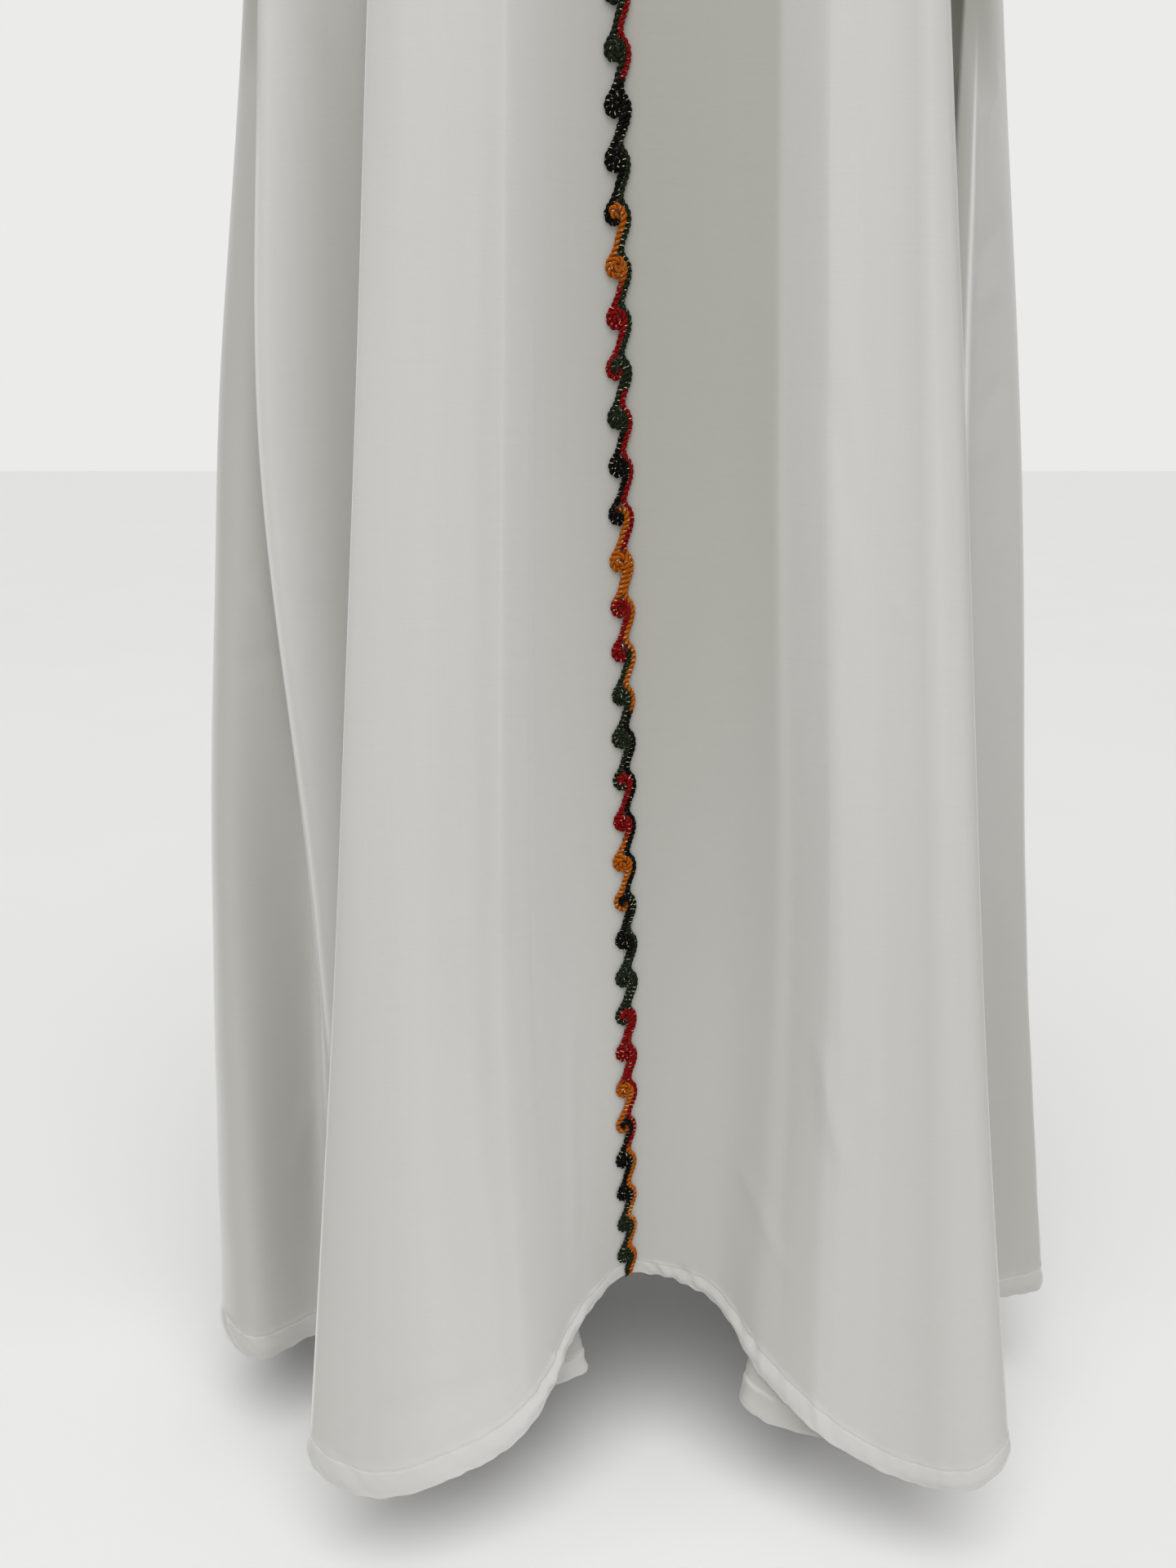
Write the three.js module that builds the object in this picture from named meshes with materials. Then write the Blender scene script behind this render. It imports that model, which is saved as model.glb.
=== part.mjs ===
// A full-length closed abaya in satin crepe, hanging as it is worn.
// Millimetres, +Z up, the front faces -Y. The origin is midway between the two
// points where the shoulder seams meet the neck, on which the garment hangs.
//
// The maker's pieces: two fronts joined under the braid at the centre front, two
// backs joined at the centre back, two sleeves, and the scroll braid sewn on from
// the neck to the hem.
// Every piece is a wall of cloth around an open hollow.

import * as THREE from "three";

// ---------------------------------------------------------------- sizes

const WALL = 1.5;
const SEAM_SHARE = 0.006; // cut back from a seam, as a share of the last span
const SLEEVE_CLEAR = 2.2; // from the armhole edge to the sleeve's first ring

const NECK = {
  side: { x: 80, y: 6, z: -4 },
  front: { y: -88, z: -95 },
  back: { y: 62, z: -14 },
  roundness: 1.4,
  share: 0.42, // part of a panel's top edge that is neckline; the rest is shoulder
};
const SHOULDER = { x: 226, y: 12, z: -54, rise: 8 };

const CHEST_Z = -235; // level of the armpits
const HIP_Z = -600;
const KNEE_Z = -1000;

// Distances down the cloth at which each fold line is placed.
const DOWN = { top: 0, yoke: 90, chest: 180, hip: 545, knee: 945, hem: 1385 };

// How far the cloth stands out between shoulder and chest.
const YOKE = {
  least: 6,
  front: 36,
  back: 30,
  armhole: 24,
  armholePower: 6,
  narrowing: 30, // the armhole edge runs in towards the neck by this much
  narrowingFrom: 0.55,
  narrowingPower: 1.2,
};

const SLEEVE = {
  startX: 255,
  cuffX: 802,
  cuffY: -4,
  topDrop: 26, // fall of the sleeve's centre from the armhole to the cuff
  midZ: -141,
  height: { armhole: 92, cuff: 77 },
  depth: { armhole: 64, cuff: 50 },
  settle: 0.38, // share of the length in which the armhole's outline dies out
  along: 10,
};

const BRAID = { width: 18, thickness: 2.4, clear: 0.3, end: 3 };

// Rows of faces down a panel. The first is cut back from the shoulder line, so that
// the front wall and the back wall clear each other.
const ROWS_TO_ARMPIT = [1.2, 25, 50, 70, 90, 112, 135, 158, 180];
const ROWS_DOWN = [...ROWS_TO_ARMPIT, 280, 410, 545, 745, 945, 1092, 1240, 1385];
const SPLIT = 3; // columns of faces between two fold lines

// ---------------------------------------------------------------- fold lines
//
// Each row is one fold line, from the top edge to the hem. "share" places its top
// end along the neckline and shoulder, from 0 at the centre to 1 at the armhole.

const COLUMNS = ["line", "share", "chestX", "chestY", "hipX", "hipY", "kneeX", "kneeY", "hemX", "hemY", "hemZ"];

const LEFT_FRONT = table([
  ["centre", 0.0, 0, -120, 4, -120, 10, -120, 16, -120, -1342],
  ["recess", 0.12, -34, -124, -36, -126, -34, -130, -26, -152, -1367],
  ["slope", 0.27, -77, -138, -86, -148, -94, -165, -75, -206, -1440],
  ["crest", 0.42, -122, -150, -138, -172, -160, -205, -150, -241, -1462],
  ["crest outside", 0.52, -152, -148, -175, -174, -207, -212, -218, -251, -1466],
  ["crest edge", 0.57, -170, -130, -196, -160, -226, -196, -269, -224, -1452],
  ["tuck", 0.61, -156, -108, -165, -125, -170, -145, -160, -168, -1456],
  ["inner edge", 0.65, -146, -92, -135, -98, -110, -104, -19, -134, -1450],
  ["return", 0.71, -190, -92, -196, -84, -185, -84, -160, -100, -1458],
  ["side crest", 0.82, -258, -88, -285, -88, -266, -84, -262, -54, -1460],
  ["under crest", 0.87, -250, -58, -272, -58, -274, -56, -296, -60, -1460],
  ["side bulge", 0.92, -270, -30, -310, -60, -340, -84, -350, -97, -1460],
  ["outer edge", 0.97, -291, -4, -336, -32, -370, -48, -398, -52, -1460],
  ["side seam", 1.0, -297, 24, -328, 20, -360, 22, -388, 30, -1460],
]);

const RIGHT_FRONT = table([
  ["centre", 0.0, 0, -120, 4, -120, 10, -120, 16, -120, -1342],
  ["recess", 0.1, 42, -119, 46, -118, 52, -117, 56, -118, -1348],
  ["recess edge", 0.22, 86, -120, 94, -119, 102, -119, 98, -128, -1366],
  ["slope", 0.32, 118, -128, 132, -134, 148, -148, 140, -172, -1412],
  ["crest inside", 0.41, 152, -144, 168, -158, 188, -182, 196, -212, -1446],
  ["crest", 0.5, 190, -150, 214, -172, 242, -200, 262, -240, -1463],
  ["crest outside", 0.56, 212, -146, 244, -170, 276, -203, 318, -248, -1462],
  ["crest edge", 0.6, 224, -132, 263, -156, 300, -190, 352, -226, -1446],
  ["tuck", 0.64, 208, -108, 228, -122, 240, -138, 230, -196, -1466],
  ["inner edge", 0.68, 204, -84, 215, -90, 200, -100, 121, -160, -1458],
  ["return", 0.76, 262, -52, 272, -52, 262, -62, 235, -75, -1460],
  ["side front", 0.84, 256, -78, 268, -72, 306, -52, 330, -25, -1460],
  ["side face", 0.9, 276, -62, 318, -42, 358, -28, 405, -8, -1460],
  ["outer edge", 0.96, 300, -20, 356, -8, 401, -5, 466, 0, -1455],
  ["side seam", 1.0, 306, 24, 346, 28, 386, 40, 438, 50, -1460],
]);

const BACK = table([
  ["side seam", 1.0, 306, 24, 346, 28, 386, 40, 438, 50, -1460],
  ["right edge", 0.93, 274, 78, 318, 88, 358, 106, 414, 132, -1461],
  ["right crest", 0.8, 216, 108, 248, 132, 288, 168, 330, 204, -1462],
  ["right dip", 0.65, 162, 110, 182, 126, 212, 146, 240, 156, -1461],
  ["middle right crest", 0.45, 106, 124, 122, 162, 142, 212, 158, 252, -1463],
  ["middle right dip", 0.24, 54, 116, 62, 140, 72, 166, 80, 184, -1461],
  ["centre", 0.0, 4, 124, 6, 160, 8, 214, 12, 262, -1463],
  ["middle left dip", 0.25, -50, 118, -56, 144, -62, 172, -66, 190, -1461],
  ["middle left crest", 0.47, -104, 126, -116, 166, -126, 218, -134, 262, -1463],
  ["left dip", 0.66, -162, 110, -176, 128, -196, 148, -216, 162, -1461],
  ["left crest", 0.8, -214, 108, -240, 136, -268, 176, -300, 214, -1462],
  ["left edge", 0.93, -268, 78, -300, 84, -338, 100, -384, 122, -1461],
  ["side seam", 1.0, -297, 24, -328, 20, -360, 22, -388, 30, -1460],
]);

function table(rows) {
  return rows.map((row) => Object.fromEntries(COLUMNS.map((name, i) => [name, row[i]])));
}

// ---------------------------------------------------------------- fold lines in space

const mix = THREE.MathUtils.lerp;

// A point of the top edge: the round neckline, then the shoulder seam.
function topEdge(share, side, isFront) {
  if (share < NECK.share) {
    const turn = (share / NECK.share) * (Math.PI / 2);
    const middle = isFront ? NECK.front : NECK.back;
    const y = mix(NECK.side.y, middle.y, Math.cos(turn));
    const z = mix(NECK.side.z, middle.z, Math.cos(turn) ** NECK.roundness);
    return new THREE.Vector3(side * NECK.side.x * Math.sin(turn), y, z);
  }
  const along = (share - NECK.share) / (1 - NECK.share);
  return new THREE.Vector3(
    side * mix(NECK.side.x, SHOULDER.x, along),
    mix(NECK.side.y, SHOULDER.y, along),
    mix(NECK.side.z, SHOULDER.z, along) + SHOULDER.rise * Math.sin(Math.PI * along),
  );
}

// The six points that a fold line passes, from the top edge to the hem.
function foldLine(row, isFront) {
  const side = Math.sign(row.chestX) || 1;
  const top = topEdge(row.share, side, isFront);
  const chest = new THREE.Vector3(row.chestX, row.chestY, CHEST_Z);
  const yoke = top.clone().lerp(chest, 0.5);
  const fullness = Math.sin((Math.PI / 2) * Math.min(1, row.share / NECK.share));
  const out = YOKE.least + (isFront ? YOKE.front : YOKE.back) * fullness;
  yoke.y += (isFront ? -1 : 1) * (out + YOKE.armhole * row.share ** YOKE.armholePower);
  const narrowing = Math.max(0, (row.share - YOKE.narrowingFrom) / (1 - YOKE.narrowingFrom));
  yoke.x -= side * YOKE.narrowing * narrowing ** YOKE.narrowingPower;
  return [
    top,
    yoke,
    chest,
    new THREE.Vector3(row.hipX, row.hipY, HIP_Z),
    new THREE.Vector3(row.kneeX, row.kneeY, KNEE_Z),
    new THREE.Vector3(row.hemX, row.hemY, row.hemZ),
  ];
}

const KNOTS = Object.values(DOWN);

// Slope of one coordinate at each knot: the harmonic mean of the two spans beside
// it, which never lets the line swing past its points. From the chest the cloth
// hangs free, so the line leaves it with the slope of the span below.
function slopes(values) {
  const spans = values.slice(1).map((value, i) => (value - values[i]) / (KNOTS[i + 1] - KNOTS[i]));
  return values.map((_, i) => {
    const before = spans[i - 1];
    const after = spans[i];
    if (i === 0 || KNOTS[i] === DOWN.chest) return after;
    if (i === values.length - 1) return before;
    return before * after > 0 ? (2 * before * after) / (before + after) : 0;
  });
}

function alongCoordinate(values, down) {
  const last = KNOTS.length - 2;
  const found = KNOTS.findIndex((knot, i) => i <= last && down < KNOTS[i + 1]);
  const i = found < 0 ? last : found;
  const length = KNOTS[i + 1] - KNOTS[i];
  const t = (down - KNOTS[i]) / length;
  const slope = slopes(values);
  return (
    (2 * t ** 3 - 3 * t ** 2 + 1) * values[i] +
    (t ** 3 - 2 * t ** 2 + t) * length * slope[i] +
    (3 * t ** 2 - 2 * t ** 3) * values[i + 1] +
    (t ** 3 - t ** 2) * length * slope[i + 1]
  );
}

function alongLine(line, down) {
  return new THREE.Vector3(
    alongCoordinate(line.map((p) => p.x), down),
    alongCoordinate(line.map((p) => p.y), down),
    alongCoordinate(line.map((p) => p.z), down),
  );
}

// ---------------------------------------------------------------- cloth surfaces

// Lines run anticlockwise round the body, seen from above. One more line stands at
// each end, so that a panel's edge turns smoothly into the next panel: below the
// armpit it is the neighbour's, above it the panel's own slope carried on.
function withNeighbours(lines, before, after) {
  const first = [...before];
  const last = [...after];
  const end = lines.length - 1;
  for (const level of [0, 1]) {
    first[level] = lines[0][level].clone().multiplyScalar(2).sub(lines[1][level]);
    last[level] = lines[end][level].clone().multiplyScalar(2).sub(lines[end - 1][level]);
  }
  return [first, ...lines, last];
}

const leftLines = LEFT_FRONT.map((row) => foldLine(row, true)).reverse();
const rightLines = RIGHT_FRONT.map((row) => foldLine(row, true));
const frontLines = [...leftLines, ...rightLines.slice(1)];
const backLines = BACK.map((row) => foldLine(row, false));
const CENTRE = leftLines.length - 1; // number of the centre front line
const BACK_CENTRE = BACK.findIndex((row) => row.share === 0); // and of the centre back line

// Places along the top edge, negative on the left.
const sharesOf = (rows) => rows.map((row) => (Math.sign(row.chestX) || 1) * row.share);

const frontCloth = {
  isFront: true,
  lines: withNeighbours(frontLines, backLines.at(-2), backLines[1]),
  shares: [...sharesOf(LEFT_FRONT).reverse(), ...sharesOf(RIGHT_FRONT).slice(1)],
};
const backCloth = {
  isFront: false,
  lines: withNeighbours(backLines, frontLines.at(-2), frontLines[1]),
  shares: sharesOf(BACK),
};

function ring(cloth, down) {
  return new THREE.CatmullRomCurve3(cloth.lines.map((line) => alongLine(line, down)), false, "centripetal");
}

function onRing(curve, across) {
  return curve.getPoint((across + 1) / (curve.points.length - 1));
}

// A point of the cloth. Above the yoke it is drawn onto the exact neckline and
// shoulder line, so that the front and the back meet there.
function clothPoint(cloth, across, down) {
  const point = onRing(ring(cloth, down), across);
  if (down >= DOWN.yoke) return point;
  const i = THREE.MathUtils.clamp(Math.floor(across), 0, cloth.shares.length - 2);
  const share = mix(cloth.shares[i], cloth.shares[i + 1], across - i);
  const edge = topEdge(Math.abs(share), Math.sign(share), cloth.isFront);
  const pull = 1 - THREE.MathUtils.smoothstep(down, DOWN.top, DOWN.yoke);
  return point.addScaledVector(edge.sub(onRing(ring(cloth, DOWN.top), across)), pull);
}

// A point of the cloth with its outward normal.
function clothAt(cloth, across, down) {
  const step = 0.02;
  const lower = Math.min(down + 1, DOWN.hem);
  const upper = Math.max(down - 1, DOWN.top);
  const along = clothPoint(cloth, across + step, down).sub(clothPoint(cloth, across - step, down));
  const fall = clothPoint(cloth, across, lower).sub(clothPoint(cloth, across, upper));
  return { point: clothPoint(cloth, across, down), normal: fall.cross(along).normalize() };
}

// ---------------------------------------------------------------- walls

// A closed wall around a grid of {point, normal}. Rows run down or along the piece
// and columns anticlockwise seen from its top, so that the normals point out.
function wall(grid, thickness, isTube) {
  const rows = grid.length;
  const cols = grid[0].length;
  const positions = [];
  for (const half of [thickness / 2, -thickness / 2]) {
    for (const row of grid) {
      for (const { point, normal } of row) {
        positions.push(...point.clone().addScaledVector(normal, half).toArray());
      }
    }
  }
  const outer = (r, c) => r * cols + (c % cols);
  const inner = (r, c) => rows * cols + outer(r, c);
  const index = [];
  const quad = (a, b, c, d) => index.push(a, b, c, a, c, d);
  const lastCol = isTube ? cols : cols - 1;
  for (let c = 0; c < lastCol; c++) {
    for (let r = 0; r < rows - 1; r++) {
      quad(outer(r, c), outer(r + 1, c), outer(r + 1, c + 1), outer(r, c + 1));
      quad(inner(r, c), inner(r, c + 1), inner(r + 1, c + 1), inner(r + 1, c));
    }
    quad(outer(0, c), outer(0, c + 1), inner(0, c + 1), inner(0, c));
    quad(outer(rows - 1, c), inner(rows - 1, c), inner(rows - 1, c + 1), outer(rows - 1, c + 1));
  }
  if (!isTube) {
    for (let r = 0; r < rows - 1; r++) {
      quad(outer(r, 0), inner(r, 0), inner(r + 1, 0), outer(r + 1, 0));
      quad(outer(r, lastCol), outer(r + 1, lastCol), inner(r + 1, lastCol), inner(r, lastCol));
    }
  }
  const geometry = new THREE.BufferGeometry();
  geometry.setAttribute("position", new THREE.Float32BufferAttribute(positions, 3));
  geometry.setIndex(index);
  geometry.computeVertexNormals();
  return geometry;
}

function panel(cloth, from, to) {
  const columns = (to - from) * SPLIT;
  const places = Array.from({ length: columns + 1 }, (_, i) => from + i / SPLIT);
  places[0] += SEAM_SHARE;
  places[columns] -= SEAM_SHARE;
  const grid = ROWS_DOWN.map((down) => places.map((across) => clothAt(cloth, across, down)));
  return wall(grid, WALL, false);
}

// ---------------------------------------------------------------- sleeves

// The armhole from the armpit up the front edge, over the shoulder and down the
// back, at the rows that the panels' own edges turn at.
function armhole(side) {
  const frontEdge = side < 0 ? frontLines[0] : frontLines.at(-1);
  const backEdge = side < 0 ? backLines.at(-1) : backLines[0];
  const rows = ROWS_TO_ARMPIT.slice(1);
  const up = rows.toReversed().map((down) => alongLine(frontEdge, down));
  const over = alongLine(frontEdge, DOWN.top);
  const back = rows.slice(0, -1).map((down) => alongLine(backEdge, down));
  const points = [...up, over, ...back];
  points.forEach((point) => {
    point.x += side * SLEEVE_CLEAR;
  });
  return points;
}

// One section of the sleeve, from 0 at the armhole to 1 at the cuff.
function sleeveSection(side, loop, share) {
  const settled = THREE.MathUtils.smoothstep(share, 0, SLEEVE.settle);
  const halfHeight = mix(SLEEVE.height.armhole, SLEEVE.height.cuff, share);
  const halfDepth = mix(SLEEVE.depth.armhole, SLEEVE.depth.cuff, share);
  const centre = new THREE.Vector3(
    side * mix(SLEEVE.startX, SLEEVE.cuffX, share),
    mix(SHOULDER.y, SLEEVE.cuffY, share),
    SLEEVE.midZ - SLEEVE.topDrop * share * (1 - share / 2),
  );
  return loop.map((start, i) => {
    const turn = (2 * Math.PI * i) / loop.length;
    const offset = new THREE.Vector3(0, -halfDepth * Math.sin(turn), -halfHeight * Math.cos(turn));
    return start.clone().lerp(centre.clone().add(offset), settled);
  });
}

function sleeve(side) {
  const loop = armhole(side);
  const sections = Array.from({ length: SLEEVE.along + 1 }, (_, i) => {
    const section = sleeveSection(side, loop, i / SLEEVE.along);
    return side < 0 ? section.reverse() : section;
  });
  const count = loop.length;
  const grid = sections.map((section, r) => {
    const next = sections[Math.min(r + 1, sections.length - 1)];
    const previous = sections[Math.max(r - 1, 0)];
    return section.map((point, c) => {
      const along = section[(c + 1) % count].clone().sub(section[(c + count - 1) % count]);
      const outward = next[c].clone().sub(previous[c]);
      return { point, normal: outward.cross(along).normalize() };
    });
  });
  return wall(grid, WALL, true);
}

// ---------------------------------------------------------------- braid

// The strip that the scroll braid fills, laid on the fronts over their centre seam.
// Its points lie on the fronts' own faces, moved out.
function braid() {
  const rise = WALL / 2 + BRAID.clear + BRAID.thickness / 2;
  const inner = ROWS_DOWN.slice(1, -1);
  const grid = [BRAID.end, ...inner, DOWN.hem - BRAID.end].map((down) => {
    const middle = clothAt(frontCloth, CENTRE, down);
    const besides = [-1, 1].map((way) => {
      const column = clothAt(frontCloth, CENTRE + way / SPLIT, down);
      const part = BRAID.width / 2 / column.point.distanceTo(middle.point);
      return {
        point: middle.point.clone().lerp(column.point, part),
        normal: middle.normal.clone().lerp(column.normal, part).normalize(),
      };
    });
    const row = [besides[0], middle, besides[1]];
    return row.map(({ point, normal }) => ({ point: point.addScaledVector(normal, rise), normal }));
  });
  return wall(grid, BRAID.thickness, false);
}

// ---------------------------------------------------------------- the garment

const satin = () =>
  new THREE.MeshStandardMaterial({ color: 0xe9e8e3, roughness: 0.45, metalness: 0, side: THREE.DoubleSide });
const cord = () => new THREE.MeshStandardMaterial({ color: 0x24402b, roughness: 0.5, metalness: 0.2 });

function piece(name, geometry, material) {
  const mesh = new THREE.Mesh(geometry, material);
  mesh.name = name;
  return mesh;
}

const abaya = new THREE.Group();
abaya.add(
  piece("front_left", panel(frontCloth, 0, CENTRE), satin()),
  piece("front_right", panel(frontCloth, CENTRE, frontLines.length - 1), satin()),
  piece("back_right", panel(backCloth, 0, BACK_CENTRE), satin()),
  piece("back_left", panel(backCloth, BACK_CENTRE, backLines.length - 1), satin()),
  piece("sleeve_left", sleeve(-1), satin()),
  piece("sleeve_right", sleeve(1), satin()),
  piece("centre_braid", braid(), cord()),
);

export default abaya;
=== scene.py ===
"""A long satin crepe abaya hanging as it is worn, with a scroll braid down the front.

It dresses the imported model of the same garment: +Z up, the front faces -Y, and the
origin lies midway between the shoulder seams' ends at the neck. The shape tables are
in millimetres, as a cutter writes them, and every mesh is made in metres.
"""

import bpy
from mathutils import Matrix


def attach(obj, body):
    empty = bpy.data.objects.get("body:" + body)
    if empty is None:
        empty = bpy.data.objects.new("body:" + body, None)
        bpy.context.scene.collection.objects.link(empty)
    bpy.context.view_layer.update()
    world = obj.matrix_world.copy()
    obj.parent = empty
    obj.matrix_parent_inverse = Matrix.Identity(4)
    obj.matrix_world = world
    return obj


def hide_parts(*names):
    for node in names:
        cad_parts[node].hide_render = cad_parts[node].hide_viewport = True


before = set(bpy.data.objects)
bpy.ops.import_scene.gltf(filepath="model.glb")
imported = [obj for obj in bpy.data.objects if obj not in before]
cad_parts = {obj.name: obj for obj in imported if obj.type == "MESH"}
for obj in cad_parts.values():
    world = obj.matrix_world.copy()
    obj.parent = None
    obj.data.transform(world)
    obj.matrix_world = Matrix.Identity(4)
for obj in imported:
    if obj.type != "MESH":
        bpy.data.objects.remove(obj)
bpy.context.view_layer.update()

import math
from collections import namedtuple

import bpy
import numpy as np

bl_info = {
    "name": "Satin Abaya",
    "version": (1, 0, 0),
    "blender": (4, 5, 0),
    "location": "View3D > Sidebar > Abaya",
    "description": "Makes a creased satin abaya with a scroll braid on its packed frame",
    "category": "Object",
}

MM = 0.001

# ---------------------------------------------------------------- cut of the garment

# How far down the cloth each fold line is placed: top edge, yoke, chest, hip, knee, hem.
KNOTS = np.array([0.0, 90.0, 180.0, 545.0, 945.0, 1385.0])
YOKE_DOWN = 90.0
HEM_DOWN = 1385.0
CHEST_KNOT = 2
CHEST_Z, HIP_Z, KNEE_Z = -235.0, -600.0, -1000.0

NECK_SIDE = (80.0, 6.0, -4.0)
NECK_FRONT = (-88.0, -95.0)
NECK_BACK = (62.0, -14.0)
NECK_ROUNDNESS = 1.4
NECK_SHARE = 0.42  # part of a panel's top edge that is neckline; the rest is shoulder
SHOULDER = (226.0, 12.0, -54.0)
SHOULDER_RISE = 8.0

YOKE_LEAST = 6.0
YOKE_FRONT = 36.0
YOKE_BACK = 30.0
YOKE_ARMHOLE = 24.0
YOKE_NARROWING = 30.0

Fold = namedtuple("Fold", "line share chest_x chest_y hip_x hip_y knee_x knee_y hem_x hem_y hem_z")

LEFT_FRONT = [
    Fold("centre", 0.0, 0, -120, 4, -120, 10, -120, 16, -120, -1342),
    Fold("recess", 0.12, -34, -124, -36, -126, -34, -130, -26, -152, -1367),
    Fold("slope", 0.27, -77, -138, -86, -148, -94, -165, -75, -206, -1440),
    Fold("crest", 0.42, -122, -150, -138, -172, -160, -205, -150, -241, -1462),
    Fold("crest outside", 0.52, -152, -148, -175, -174, -207, -212, -218, -251, -1466),
    Fold("crest edge", 0.57, -170, -130, -196, -160, -226, -196, -269, -224, -1452),
    Fold("tuck", 0.61, -156, -108, -165, -125, -170, -145, -160, -168, -1456),
    Fold("inner edge", 0.65, -146, -92, -135, -98, -110, -104, -19, -134, -1450),
    Fold("return", 0.71, -190, -92, -196, -84, -185, -84, -160, -100, -1458),
    Fold("side crest", 0.82, -258, -88, -285, -88, -266, -84, -262, -54, -1460),
    Fold("under crest", 0.87, -250, -58, -272, -58, -274, -56, -296, -60, -1460),
    Fold("side bulge", 0.92, -270, -30, -310, -60, -340, -84, -350, -97, -1460),
    Fold("outer edge", 0.97, -291, -4, -336, -32, -370, -48, -398, -52, -1460),
    Fold("side seam", 1.0, -297, 24, -328, 20, -360, 22, -388, 30, -1460),
]

RIGHT_FRONT = [
    Fold("centre", 0.0, 0, -120, 4, -120, 10, -120, 16, -120, -1342),
    Fold("recess", 0.1, 42, -119, 46, -118, 52, -117, 56, -118, -1348),
    Fold("recess edge", 0.22, 86, -120, 94, -119, 102, -119, 98, -128, -1366),
    Fold("slope", 0.32, 118, -128, 132, -134, 148, -148, 140, -172, -1412),
    Fold("crest inside", 0.41, 152, -144, 168, -158, 188, -182, 196, -212, -1446),
    Fold("crest", 0.5, 190, -150, 214, -172, 242, -200, 262, -240, -1463),
    Fold("crest outside", 0.56, 212, -146, 244, -170, 276, -203, 318, -248, -1462),
    Fold("crest edge", 0.6, 224, -132, 263, -156, 300, -190, 352, -226, -1446),
    Fold("tuck", 0.64, 208, -108, 228, -122, 240, -138, 230, -196, -1466),
    Fold("inner edge", 0.68, 204, -84, 215, -90, 200, -100, 121, -160, -1458),
    Fold("return", 0.76, 262, -52, 272, -52, 262, -62, 235, -75, -1460),
    Fold("side front", 0.84, 256, -78, 268, -72, 306, -52, 330, -25, -1460),
    Fold("side face", 0.9, 276, -62, 318, -42, 358, -28, 405, -8, -1460),
    Fold("outer edge", 0.96, 300, -20, 356, -8, 401, -5, 466, 0, -1455),
    Fold("side seam", 1.0, 306, 24, 346, 28, 386, 40, 438, 50, -1460),
]

BACK = [
    Fold("side seam", 1.0, 306, 24, 346, 28, 386, 40, 438, 50, -1460),
    Fold("right edge", 0.93, 274, 78, 318, 88, 358, 106, 414, 132, -1461),
    Fold("right crest", 0.8, 216, 108, 248, 132, 288, 168, 330, 204, -1462),
    Fold("right dip", 0.65, 162, 110, 182, 126, 212, 146, 240, 156, -1461),
    Fold("middle right crest", 0.45, 106, 124, 122, 162, 142, 212, 158, 252, -1463),
    Fold("middle right dip", 0.24, 54, 116, 62, 140, 72, 166, 80, 184, -1461),
    Fold("centre", 0.0, 4, 124, 6, 160, 8, 214, 12, 262, -1463),
    Fold("middle left dip", 0.25, -50, 118, -56, 144, -62, 172, -66, 190, -1461),
    Fold("middle left crest", 0.47, -104, 126, -116, 166, -126, 218, -134, 262, -1463),
    Fold("left dip", 0.66, -162, 110, -176, 128, -196, 148, -216, 162, -1461),
    Fold("left crest", 0.8, -214, 108, -240, 136, -268, 176, -300, 214, -1462),
    Fold("left edge", 0.93, -268, 78, -300, 84, -338, 100, -384, 122, -1461),
    Fold("side seam", 1.0, -297, 24, -328, 20, -360, 22, -388, 30, -1460),
]

SLEEVE_START, SLEEVE_CUFF = 255.0, 802.0
SLEEVE_Y = (12.0, -4.0)
SLEEVE_MIDDLE_Z = -141.0
SLEEVE_DROP = 26.0
SLEEVE_HEIGHT = (92.0, 77.0)
SLEEVE_DEPTH = (64.0, 50.0)
SLEEVE_SETTLE = 0.38
ARMHOLE_DOWNS = [180, 158, 135, 112, 90, 70, 50, 25, 0]

# ---------------------------------------------------------------- creases
#
# Each crease runs between two places on a panel, given as a fold line's number counted
# from the panel's centre and millimetres down. It is a ridge if its height is positive
# and a trough if not. It fades out at "reach" millimetres from its middle; a small
# "crisp" makes its top sharp. "bow" bends it sideways.

Crease = namedtuple("Crease", "line down to_line to_down reach crisp height bow")

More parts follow.
